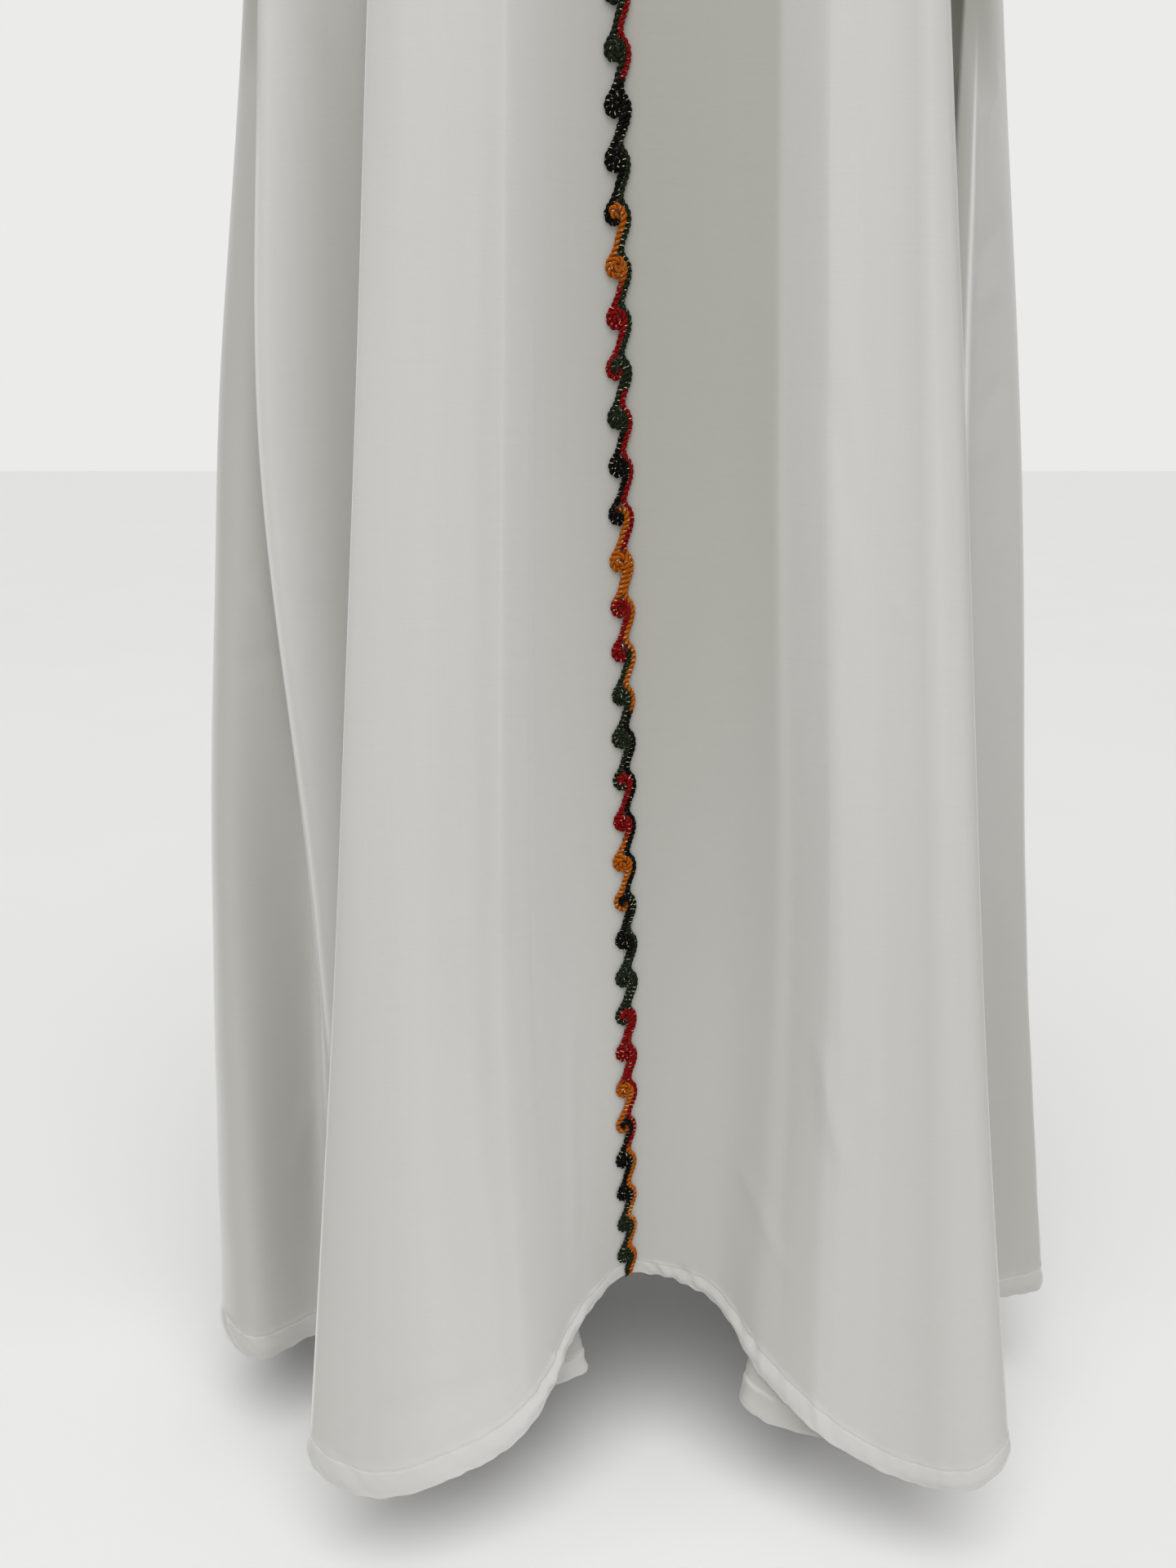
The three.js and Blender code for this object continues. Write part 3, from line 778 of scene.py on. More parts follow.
def steps_across(start, end, edges):
    """Line numbers of a panel's columns, close together at both seams and along the painted highlights on
    fold edges.
    """
    inside = np.arange(start * COLUMNS_PER_FOLD + 1, end * COLUMNS_PER_FOLD) / COLUMNS_PER_FOLD
    for edge in edges:
        if start < edge.line < end:
            inside = inside[np.abs(inside - edge.line) > 2 * edge.width]
            inside = np.concatenate([inside, edge.line + EDGE_COLUMNS * edge.width])
    return np.concatenate([start + SEAM_COLUMNS, np.sort(inside), end - SEAM_COLUMNS[::-1]])


def peak(distance, width):
    """1 at no distance, falling off smoothly over the width."""
    return np.exp(-((distance / width) ** 2))


# Depths and heights of the sewn details, and how far they reach.
HEM_SWELL, HEM_GROOVE, HEM_RIDGE = 0.3, 0.25, 0.7
GROOVE_WIDTH, RIDGE_WIDTH = 1.5, 2.2
RIDGE_ABOVE_STITCHES = 3.6
ROLL_HEIGHT, GATHER_HEIGHT = 1.3, 1.7
TURNED_THICKNESS = 1.1
NECK_THICKNESS = 0.7
NECK_SWELL = 0.3
NECK_STITCH_DOWN = 6.0
NECK_TURNED_DOWN = (7.3, 8.3)
NECK_STITCH_DEPTH = 0.4
SEAM_WIDTH, SEAM_DEPTH = 1.8, 0.9
PUCKER_REACH, PUCKER_HEIGHT = 9.0, 0.25
UNEVENNESS = 0.6
# share of painted highlight on the hems of the backs and sleeves
PLAIN_HEM_LIGHT = 0.4
# where the painted shadow under the arms lies, across and down
ARMPIT_LINES, ARMPIT_DOWNS = (8.95, 9.4), (60, 150, 200, 340)
LONE_TURNS = (450, 1150)  # where the table's chest values give way to those at the hem
UNDER_BRAID = (9.0, 24.0)  # the cloth lies flat within this distance of the braid's middle
HEM_SLOPE = (12, 45, 120, 200)  # where the fronts' hem slopes beside the centre
HEM_LIFT_REACH = 130
HEM_WAVE_REACH = 45
HEM_DEPTH_REACH = 160


def turned_share(up, hem):
    """1 where the hem is turned up, 0 above it."""
    return 1 - smoothstep(hem - 0.7, hem + 0.7, up)


def hem_relief(up, hem, spread, phase, puff):
    """Height of a turned-up, stitched hem: rolled edge, stitched groove, ridge and puckers."""
    turned = turned_share(up, hem)
    groove = peak(up - hem, GROOVE_WIDTH)
    ridge = peak(up - hem - RIDGE_ABOVE_STITCHES, RIDGE_WIDTH)
    roll = smoothstep(0.0, hem * 0.4, up) * (1 - smoothstep(hem * 0.5, hem, up))
    gathers = smoothstep(0.0, 6.0, up) * (1 - smoothstep(hem - 3, hem + 14, up))
    uneven = 1 + 0.6 * np.sin(spread / 37 + phase)
    slanted = ripple(spread + 0.45 * up, phase)
    soft = ROLL_HEIGHT * roll * uneven + GATHER_HEIGHT * slanted * gathers
    return HEM_SWELL * turned - HEM_GROOVE * groove + HEM_RIDGE * ridge + puff * soft


def lone_shade_share(line, down, lone_shading):
    """Share of painted shade where cloth hangs alone, from the panel's table; under the arm a painted shadow
    is added.
    """
    if not lone_shading:
        return np.zeros_like(line)
    lines = [row.line for row in lone_shading]
    chest = np.interp(line, lines, [row.chest for row in lone_shading])
    hem = np.interp(line, lines, [row.hem for row in lone_shading])
    share = mix(chest, hem, smoothstep(*LONE_TURNS, down)) * smoothstep(30, 240, down)
    shade_down = smoothstep(*ARMPIT_DOWNS[:2], down) * (1 - smoothstep(*ARMPIT_DOWNS[2:], down))
    return np.maximum(share, smoothstep(*ARMPIT_LINES, np.abs(line)) * shade_down)


def edge_highlight_share(line, down, edges):
    """Painted highlight: 1 along the edges of folds, fading out at their ends."""
    share = np.zeros_like(line)
    for edge in edges:
        run = smoothstep(edge.down - 40, edge.down + 40, down)
        run = run * (1 - smoothstep(edge.to_down - 60, edge.to_down, down))
        share += edge.strength * peak(line - edge.line, edge.width) * run
    return np.clip(share, 0.0, 1.0)


def hem_values(line, column):
    return np.interp(line, [row.line for row in HEM_PLACES], [getattr(row, column) for row in HEM_PLACES])


def panel(name, surface, start, end, centre, creases, cloth, lone_shading, edges):
    """One panel of the body: its sheet and the stitches of its hem and neckline."""
    edges = [edge._replace(line=edge.line + centre) for edge in edges]
    places = steps_across(start, end, edges)
    downs = steps_down(cloth)
    across, down = np.meshgrid(places, downs)
    hem = cloth.hem_depth / MM
    up = HEM_DOWN - down
    if surface.is_front:
        faded = smoothstep(hem, hem + HEM_DEPTH_REACH, up)
        down = HEM_DOWN - up * mix(hem_values(across - centre, "depth"), 1.0, faded)
    base = surface.point(across, down)
    middle = int(np.abs(places - centre).argmin())
    spread = grid_spread(base, middle)
    normals = grid_normals(base)

    turned = turned_share(up, hem)
    share = np.interp(across, np.arange(surface.count), np.abs(surface.shares))
    shoulder = smoothstep(NECK_SHARE - 0.02, NECK_SHARE, share)
    neck = (1 - shoulder) * (1 - smoothstep(*NECK_TURNED_DOWN, down))

    from_start = np.abs(spread - spread[:, :1])
    from_end = np.abs(spread - spread[:, -1:])
    seam = peak(from_start, SEAM_WIDTH) + peak(from_end, SEAM_WIDTH)
    seam += shoulder * peak(down, SEAM_WIDTH)
    pucker = peak(from_start, PUCKER_REACH) + peak(from_end, PUCKER_REACH)
    gather = np.sin(down / 6.3 + 2.0 * np.sin(down / 57)) * smoothstep(20, 90, down)

    height = cloth.crease_depth * relief(creases, places - centre, downs, spread)
    height += drift(spread, down, UNEVENNESS) * smoothstep(60, 300, down)
    height -= SEAM_DEPTH * seam
    height += PUCKER_HEIGHT * pucker * gather
    aside = np.abs(spread)
    slope = smoothstep(*HEM_SLOPE[:2], aside) * (1 - smoothstep(*HEM_SLOPE[2:], aside)) * surface.is_front
    height += hem_relief(up, hem, spread, 0.4 * end, 0.7 + 0.7 * slope)
    height += NECK_SWELL * neck - NECK_STITCH_DEPTH * peak(down - NECK_STITCH_DOWN, 1.0) * (1 - shoulder)
    wave = (1.3 + 1.3 * slope) * ripple(spread, 2.2 + end) * (1 - smoothstep(0, HEM_WAVE_REACH, up))
    if surface.is_front:
        beside = smoothstep(*UNDER_BRAID, aside)
        height *= beside
        wave *= beside

    points = base + normals * height[..., None]
    if surface.is_front:
        wave += hem_values(across - centre, "lift") * (1 - smoothstep(0, HEM_LIFT_REACH, up))
    points -= unit(np.gradient(base, axis=0)) * wave[..., None]
    normals = grid_normals(points)
    half = cloth.thickness / MM / 2
    inward = half + TURNED_THICKNESS * turned + NECK_THICKNESS * neck
    outer = points + normals * half
    inner = points - normals * inward[..., None]

    uv = np.stack([spread, -down], axis=-1) * MM
    # painted shade where one layer hangs over the open inside, and under the arms
    painted_lone_shade = lone_shade_share(across - centre, down, lone_shading)
    # painted highlight: lightens the hem's turned-up layers, the ridge above its stitches and the neck
    # binding
    light = hem_values(across - centre, "light") if surface.is_front else PLAIN_HEM_LIGHT
    ridge_highlight = 0.5 * peak(up - hem - RIDGE_ABOVE_STITCHES, SEAM_WIDTH)
    doubled_highlight = np.maximum(np.maximum(turned, ridge_highlight) * light, neck * 0.5)
    # painted highlights along the fold edges, and a faint one along the hem's stitch line
    edge_highlight = edge_highlight_share(across, down, edges) + 0.3 * peak(up - hem - 0.6, GROOVE_WIDTH)
    piece = sheet_piece(name, outer, inner, uv, {"doubled_highlight": doubled_highlight, "painted_lone_shade": painted_lone_shade, "edge_highlight": edge_highlight})

    row = int(np.abs(downs - (HEM_DOWN - hem)).argmin())
    paths = [np.concatenate([outer[row, 2:-2], normals[row, 2:-2]], axis=1)]
    neck_row = int(np.abs(downs - NECK_STITCH_DOWN).argmin())
    on_neck = share[neck_row] < NECK_SHARE - 0.01
    paths.append(np.concatenate([outer[neck_row, on_neck], normals[neck_row, on_neck]], axis=1))
    stitches = stitch_piece(name.replace("cloth", "stitches"), paths, cloth)
    return piece, stitches


SLEEVE_COLUMNS = 132
SLEEVE_ROWS = 92


def armhole(side, at):
    """Points of the armhole, at 0 under the arm, up the front and down the back to 16."""
    downs = np.interp(at, np.arange(17), ARMHOLE_DOWNS + ARMHOLE_DOWNS[-2::-1])
    front_line = FRONT.count if side > 0 else 1
    back_line = 1 if side > 0 else REAR.count
    front = FRONT.along(np.full(at.shape, front_line), downs)
    back = REAR.along(np.full(at.shape, back_line), downs)
    return np.where((at <= 8)[:, None], front, back)


def sleeve(name, side, cloth):
    """One sleeve: its sheet and cuff stitches."""
    cols = SLEEVE_COLUMNS
    at = np.arange(cols) * 16 / cols
    length = SLEEVE_CUFF - SLEEVE_START
    hem = cloth.hem_depth / MM
    shares_out = np.concatenate(
        [
            np.array([0, 1.2, 2.6, 4.5, 7]) / length,
            np.linspace(11, length - hem - 5, SLEEVE_ROWS) / length,
            1 - (hem + np.array([2.4, 1.2, 0, -1.2, -2.4, -5])) / length,
            1 - np.array([14, 10, 6, 3, 1, 0]) / length,
        ]
    )
    loop = armhole(side, at)
    turn = 2 * math.pi * at / 16
    share = shares_out[:, None, None]
    settled = smoothstep(0.0, SLEEVE_SETTLE, share)
    high, deep = mix(*SLEEVE_HEIGHT, share), mix(*SLEEVE_DEPTH, share)
    across = np.ones((len(shares_out), cols, 1))
    centre = np.concatenate(
        [
            side * mix(SLEEVE_START, SLEEVE_CUFF, share) * across,
            mix(*SLEEVE_Y, share) * across,
            (SLEEVE_MIDDLE_Z - SLEEVE_DROP * share * (1 - share / 2)) * across,
        ],
        axis=-1,
    )
    offset = np.concatenate(
        [0 * across, -deep * np.sin(turn)[None, :, None], -high * np.cos(turn)[None, :, None]], axis=-1
    )
    base = mix(loop[None], centre + offset, settled)
    if side < 0:
        base = base[:, ::-1]
        at = at[::-1]
    normals = grid_normals(base, True)
    closed = np.concatenate([base, base[:, :1]], axis=1)
    spread = grid_spread(closed, 0)
    out = shares_out * length
    down = np.broadcast_to(out[:, None], base.shape[:2])
    around = spread[:, :-1] / spread[:, -1:]
    eighths = around * 8 if side > 0 else 8 - around * 8
    places = np.linspace(0, 8, cols, endpoint=False)

    height = np.zeros(base.shape[:2])
    girth = spread[:, -1].mean()
    for crease in SLEEVE_CREASES:
        start = (crease.line * girth / 8, crease.down)
        end = (crease.to_line * girth / 8, crease.to_down)
        height += crease_height(crease, start, end, eighths * girth / 8, down)
    uneven = drift(eighths * girth / 8, down + 300 * side, 1.0)
    height = cloth.crease_depth * height + uneven * smoothstep(0, 60, down)
    up = length - down
    turned = turned_share(up, hem)
    height -= 1.1 * peak(down, 2.2)
    height += 0.5 * peak(down - 8, 7) * ripple(spread[:, :-1], 1.1)
    under = np.minimum(eighths, 8 - eighths) * girth / 8
    height -= SEAM_DEPTH * peak(under, 2.4) * smoothstep(0, 20, down)
    height += hem_relief(up, hem, spread[:, :-1], 2.3, 0.6)

    points = base + normals * height[..., None]
    normals = grid_normals(points, True)
    half = cloth.thickness / MM / 2
    outer = points + normals * half
    inner = points - normals * (half + TURNED_THICKNESS * turned)[..., None]
    uv = np.stack([spread, np.broadcast_to(-out[:, None], spread.shape)], axis=-1) * MM
    plain = np.zeros_like(turned)
    # painted highlight on the cuff's turned-up layers; no painted shade on the sleeves
    shares = {"doubled_highlight": PLAIN_HEM_LIGHT * turned, "painted_lone_shade": plain, "edge_highlight": plain}
    piece = sheet_piece(name, outer, inner, uv, shares, True)

    row = int(np.abs(up[:, 0] - hem).argmin())
    ring = np.concatenate([outer[row], normals[row]], axis=1)
    stitches = stitch_piece(name.replace("cloth", "stitches"), [np.concatenate([ring, ring[:1]])], cloth)
    return piece, stitches


# ---------------------------------------------------------------- braid cords


def smooth_path(points, step):
    """A smooth curve through points, at about even steps."""
    points = np.asarray(points, float)
    padded = np.concatenate([2 * points[:1] - points[1:2], points, 2 * points[-1:] - points[-2:-1]])
    pieces = []
    for i in range(1, len(padded) - 2):
        a, b, c, d = padded[i - 1 : i + 3]
        count = max(2, int(np.linalg.norm(c - b) / step) + 1)
        t = np.linspace(0, 1, count, endpoint=False)[:, None]
        pieces.append(hermite(b, c, (c - a) / 2, (d - b) / 2, t))
    pieces.append(points[-1:])
    return np.concatenate(pieces)


def cord_places(shape, knots, repeat, sway):
    """A cord's places over all repeats: right, down, rise, and how far along it is in repeats."""
    places = []
    for knot in knots:
        aside = sway * math.sin(1.7 * knot + 0.5)
        size = 1 + 0.03 * math.sin(2.3 * knot)
        for number, point in enumerate(shape):
            along = knot - ABOVE_KNOT + (number + 0.5) / len(shape)
            places.append((point.right * size + aside, point.down + knot * repeat, point.rise, along))
    return places


def dye_at(dyes, colours, place):
    """The cord's colour at places along it: each dye runs a little into the next."""
    starts = np.array([dye.start for dye in dyes[1:]])
    rgb = np.array([colours[dye.colour] for dye in dyes])
    shade = np.broadcast_to(rgb[0], (len(place), 3)).copy()
    for start, colour in zip(starts, rgb[1:]):
        shade = mix(shade, colour, smoothstep(start - DYE_RUN, start + DYE_RUN, place)[:, None])
    return shade


def ply_tube(centre, normal, width, turn):
    """Rings round one ply of a twisted cord."""
    along = unit(np.gradient(centre, axis=0))
    out = unit(normal - along * np.sum(normal * along, axis=1, keepdims=True))
    aside = np.cross(along, out)
    angles = turn[:, None] + np.arange(PLY_SIDES) * 2 * math.pi / PLY_SIDES
    ring = out[:, None] * np.cos(angles)[..., None] + aside[:, None] * np.sin(angles)[..., None]
    return centre[:, None] + ring * np.broadcast_to(width, len(centre))[:, None, None] / 2


PLY_SIDES = 8
PLY_GIRTH = 0.56  # a ply's thickness as part of its cord's
PLY_OUT = 0.25  # and its middle's distance from the cord's middle
GROOVE_SHADE = 0.3  # painted shade: the dye is dimmed to this brightness down between the plies
DYE_RUN = 0.09  # how far one dye runs into the next, in repeats
ABOVE_KNOT = 0.4  # part of a repeat's cord that comes before its knot's middle
TUFT_YARNS = 6
TUFT_YARN = 0.8
TUFT_LENGTH = 4.5
TUFT_OUT = 0.6  # how far the cords reach past the hem's edge
CORD_END = 2.0  # the scroll's places stop this far above that edge
CORD_SUNK = 0.82  # height of a cord's middle over the cloth, in half cords
PLY_FLATNESS = 0.9  # plies stand out from the cloth a little less than sideways


class Tube:
    """Closed tubes joined in one mesh, with a place along and round each and its dye, dimmed by painted
    shade between the plies.
    """

    def __init__(self):
        self.vertices, self.faces, self.dyes, self.uvs = [], [], [], []
        self.count = 0

    def add(self, centre, normal, width, turn, shade, travelled, axis=None):
        """One tube; painted shade dims its dye where it lies near the axis that it winds about."""
        rings = ply_tube(centre, normal, width, turn)
        light = np.ones(rings.shape[:2])
        if axis is not None:
            away = np.linalg.norm(rings - axis[:, None], axis=-1) / width
            light = mix(GROOVE_SHADE, 1.0, smoothstep(0.45, 0.95, away))
        for end in (0, -1):
            rings[end] = mix(rings[end].mean(axis=0), rings[end], 0.4)
        self.vertices.append(rings.reshape(-1, 3))
        self.dyes.append((shade[:, None] * light[..., None]).reshape(-1, 3))
        count, base = len(rings), self.count
        grid = np.meshgrid(np.arange(count - 1), np.arange(PLY_SIDES), indexing="ij")
        row, col = (places.ravel() for places in grid)
        corners = [(row, col), (row, col + 1), (row + 1, col + 1), (row + 1, col)]
        self.faces += np.stack([base + r * PLY_SIDES + c % PLY_SIDES for r, c in corners], axis=1).tolist()
        uv = np.stack([np.stack([c / PLY_SIDES, travelled[r] * MM], axis=-1) for r, c in corners], axis=1)
        last = base + (count - 1) * PLY_SIDES
        self.faces.append([base + side for side in reversed(range(PLY_SIDES))])
        self.faces.append([last + side for side in range(PLY_SIDES)])
        self.uvs += [uv.reshape(-1, 2), np.zeros((2 * PLY_SIDES, 2))]
        self.count += count * PLY_SIDES

    def piece(self, name):
        mesh = bpy.data.meshes.new(name)
        mesh.from_pydata((np.concatenate(self.vertices) * MM).tolist(), [], self.faces)
        mesh.uv_layers.new(name="cut").data.foreach_set("uv", np.concatenate(self.uvs).ravel())
        # the dye attribute also carries the painted shade between the plies
        colour = np.concatenate([np.concatenate(self.dyes), np.ones((self.count, 1))], axis=1)
        mesh.attributes.new("dye", "FLOAT_COLOR", "POINT").data.foreach_set("color", colour.ravel())
        return finish_piece(name, mesh)


def add_tuft(tube, start, along, aside, out, shade):
    """The frayed yarns at a cord's lower end."""
    steps = np.linspace(0, 1, 7)
    for number in range(TUFT_YARNS):
        spread = number / (TUFT_YARNS - 1) - 0.5
        length = TUFT_LENGTH * (0.75 + 0.25 * math.sin(5 * number + 1))
        way = unit(along + aside * spread * 1.3 + out * 0.25 * math.sin(3 * number))
        bend = aside * spread * 2.2 - out * 0.6
        centre = start - along * 1.2 + way * (steps * length)[:, None] + bend * (steps**2)[:, None]
        same = np.ones((len(steps), 1))
        width = TUFT_YARN * (1 - 0.5 * steps)
        tube.add(centre, same * out, width, np.zeros(len(steps)), same * shade, steps * length)


def braid_piece(settings, cloth):
    """Both cords laid on the fronts, each of two plies twisted together."""
    repeat = settings.repeat / MM
    cord = settings.cord_width / MM
    colours = {
        "black": np.array(settings.black),
        "green": np.array(settings.green),
        "red": np.array(settings.red),
        "orange": np.array(settings.orange),
    }
    downs = np.linspace(0, HEM_DOWN, 1200)
    line = FRONT.point(np.full(downs.shape, float(FRONT_CENTRE)), downs)
    fallen = np.concatenate([[0.0], np.cumsum(np.linalg.norm(np.diff(line, axis=0), axis=1))])
    drawn = repeat * DRAWN_IN
    first = fallen[-1] - LAST_KNOT_UP - LAST_KNOT * repeat + drawn * (LAST_KNOT - DRAWN_IN_FROM)
    end = LAST_KNOT * repeat + LAST_KNOT_UP
    knots = range(-int((first - 14) // repeat), LAST_KNOT + 1)
    beside = np.linspace(-0.5, 0.5, 21)
    across, down = np.meshgrid(FRONT_CENTRE + beside, downs)
    reach = grid_spread(FRONT.point(across, down), len(beside) // 2)

    half = cord / 2
    lean_knots = [row.knot for row in LEANS]
    tube = Tube()
    for shape, sway, dye_table in ((CURL, 0.35, CURL_DYES), (WAVE, 0.3, WAVE_DYES)):
        path = cord_places(shape, knots, repeat, sway)
        top = (path[0][0] * 0.8, 1.5 - first, 0.0, path[0][3])
        path = [place for place in path if place[1] < end - CORD_END]
        low = (path[-1][0] * 0.7, end + TUFT_OUT, 0.0, path[-1][3])
        flat = resample(smooth_path([top, *path, low], 0.8), settings.ring_step / MM)
        right, fall, rise, progress = flat.T
        knot = fall / repeat
        right = right + np.interp(knot, lean_knots, [row.right for row in LEANS])
        fall = fall + np.interp(knot, lean_knots, [row.down for row in LEANS]) * (fall < end - CORD_END)
        drawn_fall = fall - drawn * np.maximum(0.0, fall / repeat - DRAWN_IN_FROM) + first
        down = np.interp(drawn_fall, fallen, downs)
        rows = np.abs(downs[None] - down[:, None]).argmin(axis=1)
        across = FRONT_CENTRE + np.array([np.interp(r, reach[row], beside) for r, row in zip(right, rows)])
        here = FRONT.point(across, down)
        over = FRONT.point(across + 0.02, down) - FRONT.point(across - 0.02, down)
        below = FRONT.point(across, np.minimum(down + 1, HEM_DOWN))
        fallway = unit(below - FRONT.point(across, np.maximum(down - 1, 0)))
        normal = unit(np.cross(fallway, over))
        beyond = np.maximum(0.0, drawn_fall - fallen[-1])
        lift = cloth.thickness / MM / 2 + half * CORD_SUNK + rise
        middle = here + normal * lift[:, None] + fallway * beyond[:, None]
        travelled = np.arange(len(middle)) * settings.ring_step / MM
        spin = 2 * math.pi * travelled / (settings.lay / MM)
        along = unit(np.gradient(middle, axis=0))
        out = unit(normal - along * np.sum(normal * along, axis=1, keepdims=True))
        aside = np.cross(along, out)
        shade = dye_at(dye_table, colours, progress)
        for strand in (0, 1):
            angle = spin + strand * math.pi
            offset = out * (np.cos(angle) * PLY_FLATNESS)[:, None] + aside * np.sin(angle)[:, None]
            ply = middle + offset * cord * PLY_OUT
            tube.add(ply, normal, cord * PLY_GIRTH, -spin * 0.5, shade, travelled, middle)
        add_tuft(tube, middle[-1], along[-1], aside[-1], out[-1], shade[-1])
    return tube.piece("braid_cords")


# ---------------------------------------------------------------- finishes


class Reading:
    """A value socket that adds Math nodes when it is reckoned with."""

    def __init__(self, finish, socket):
        self.finish = finish
        self.socket = socket

    def reckon(self, operation, *values):
        return self.finish.node("ShaderNodeMath", {"operation": operation}, dict(enumerate(values)))

    def sine(self):
        return self.reckon("SINE", self)

    def fraction(self):
        return self.reckon("FRACT", self)

    def size(self):
        return self.reckon("ABSOLUTE", self)

    def __add__(self, other):
        return self.reckon("ADD", self, other)

    __radd__ = __add__

    def __sub__(self, other):
        return self.reckon("SUBTRACT", self, other)

    def __rsub__(self, other):
        return self.reckon("SUBTRACT", other, self)

    def __mul__(self, other):
        return self.reckon("MULTIPLY", self, other)

    __rmul__ = __mul__

    def __truediv__(self, other):
        return self.reckon("DIVIDE", self, other)

    def __rtruediv__(self, other):
        return self.reckon("DIVIDE", other, self)

    def __pow__(self, other):
        return self.reckon("POWER", self, other)

    def between(self, low, high):
        """0 below low and 1 above high, smooth between them."""
        settings = {"interpolation_type": "SMOOTHSTEP"}
        sockets = {"Value": self, "From Min": low, "From Max": high}
        return self.finish.node("ShaderNodeMapRange", settings, sockets)


class Finish:
    """A material that is put together node by node."""

    def __init__(self, name):
        self.material = bpy.data.materials.new(name)
        self.material.use_nodes = True
        self.tree = self.material.node_tree
        self.tree.nodes.clear()

    def node(self, kind, settings=None, sockets=None, result=None):
        """Adds a node: settings first, then its sockets' values or links."""
        node = self.tree.nodes.new(kind)
        for name, value in (settings or {}).items():
            setattr(node, name, value)
        for name, value in (sockets or {}).items():
            socket = node.inputs[name] if isinstance(name, int) else self.socket(node.inputs, name)
            if isinstance(value, Reading):
                self.tree.links.new(value.socket, socket)
            else:
                socket.default_value = value
        output = self.socket(node.outputs, result) if result else next(s for s in node.outputs if s.enabled)
        return Reading(self, output)

    def other_result(self, reading, name):
        """Another output of the node that a reading comes from."""
        return Reading(self, self.socket(reading.socket.node.outputs, name))

    @staticmethod
    def socket(sockets, name):
        return next(s for s in sockets if name in (s.identifier, s.name) and s.enabled)

    def scaled(self, vector, scale):
        return self.node("ShaderNodeVectorMath", {"operation": "MULTIPLY"}, {0: vector, 1: scale})

    def noise(self, vector, scale, detail=2.0, roughness=0.5):
        stretched = self.scaled(vector, scale)
        sockets = {"Vector": stretched, "Scale": 1.0, "Detail": detail, "Roughness": roughness}
        return self.node("ShaderNodeTexNoise", sockets=sockets)

    def blend(self, share, low, high):
        sockets = {"Factor_Float": share, "A_Color": low, "B_Color": high}
        return self.node("ShaderNodeMix", {"data_type": "RGBA"}, sockets, "Result_Color")

    def bump(self, height, strength, distance):
        sockets = {"Height": height, "Strength": strength, "Distance": distance}
        return self.node("ShaderNodeBump", sockets=sockets)

    def attribute(self, name, result="Fac"):
        return self.node("ShaderNodeAttribute", {"attribute_name": name}, result=result)

    def surface(self, sockets):
        shader = self.node("ShaderNodeBsdfPrincipled", sockets=sockets)
        self.node_output(shader)
        return self.material

    def node_output(self, shader):
        output = self.tree.nodes.new("ShaderNodeOutputMaterial")
        self.tree.links.new(shader.socket, output.inputs["Surface"])


def colour4(rgb, scale=1.0):
    return (rgb[0] * scale, rgb[1] * scale, rgb[2] * scale, 1.0)


def satin_finish(cloth):
    """Satin crepe: fine pebbled grain, long faint yarn streaks, painted shade where it hangs alone, painted
    highlights on hems and fold edges, and a painted sheen where folds turn away.
    """
    finish = Finish("ivory satin crepe")
    cut = finish.node("ShaderNodeUVMap", {"uv_map": "cut"})
    grain = finish.noise(cut, (1500, 620, 1), 3, 0.6)
    streak = finish.noise(cut, (900, 14, 1), 2, 0.55)
    cross = finish.noise(cut, (16, 1100, 1), 2, 0.55)
    cloud = finish.noise(cut, (7, 3.5, 1), 3, 0.5)
    painted_lone_shade = finish.attribute("painted_lone_shade")
    doubled_highlight = finish.attribute("doubled_highlight")
    mottle = streak * 0.5 + cloud * 0.5
    plain = finish.blend(mottle, colour4(cloth.colour, 0.96), colour4(cloth.colour, 1.04))
    # painted shade: towards a darker, warmer cream where one layer hangs alone
    lone_shading = finish.blend(painted_lone_shade, plain, colour4(cloth.lone_shade_colour))
    # painted highlight on hems and the neck binding, towards the highlight colour
    hem_highlighted = finish.blend(doubled_highlight * 0.6, lone_shading, colour4(cloth.doubled_highlight_colour))
    # painted highlight on fold edges and along the stitch line, in the sheen colour
    edge_highlight = finish.blend(finish.attribute("edge_highlight"), hem_highlighted, colour4(cloth.painted_sheen_colour))
    # painted sheen: the base colour is lightened where a fold turns away from the view
    facing = finish.node("ShaderNodeLayerWeight", sockets={"Blend": 0.5}, result="Facing")
    painted_sheen = finish.blend(facing.between(0.5, 0.95) * 0.6, edge_highlight, colour4(cloth.painted_sheen_colour))
    pebbles = (grain * 0.6 + cross * 0.4).between(0.3, 0.62)
    shade = finish.blend(pebbles, (0.93, 0.93, 0.925, 1), (1, 1, 1, 1))
    settings = {"data_type": "RGBA", "blend_type": "MULTIPLY"}
    sockets = {"Factor_Float": 0.5, "A_Color": painted_sheen, "B_Color": shade}
    colour = finish.node("ShaderNodeMix", settings, sockets, "Result_Color")
    rough = cloth.roughness - 0.05 + streak * 0.06 + cloud * 0.08 + grain * 0.03
    height = grain * 0.6 + streak * 0.5 + cross * 0.35
    return finish.surface(
        {
            "Base Color": colour,
            "Roughness": rough,
            "Normal": finish.bump(height, 0.22, 0.0004),
            "Specular IOR Level": 0.42,
            "Sheen Weight": 0.25,
            "Sheen Roughness": 0.35,
        }
    )


def thread_finish(cloth):
    """White sewing thread with its twist."""
    finish = Finish("white sewing thread")
    place = finish.node("ShaderNodeTexCoord", result="Object")
    twist = finish.noise(place, (2600, 2600, 2600), 2, 0.5)
    colour = finish.blend(twist, colour4(cloth.doubled_highlight_colour, 0.9), colour4(cloth.doubled_highlight_colour, 1.06))
    return finish.surface(
        {"Base Color": colour, "Roughness": 0.34 + twist * 0.2, "Normal": finish.bump(twist, 0.5, 0.0001)}
    )


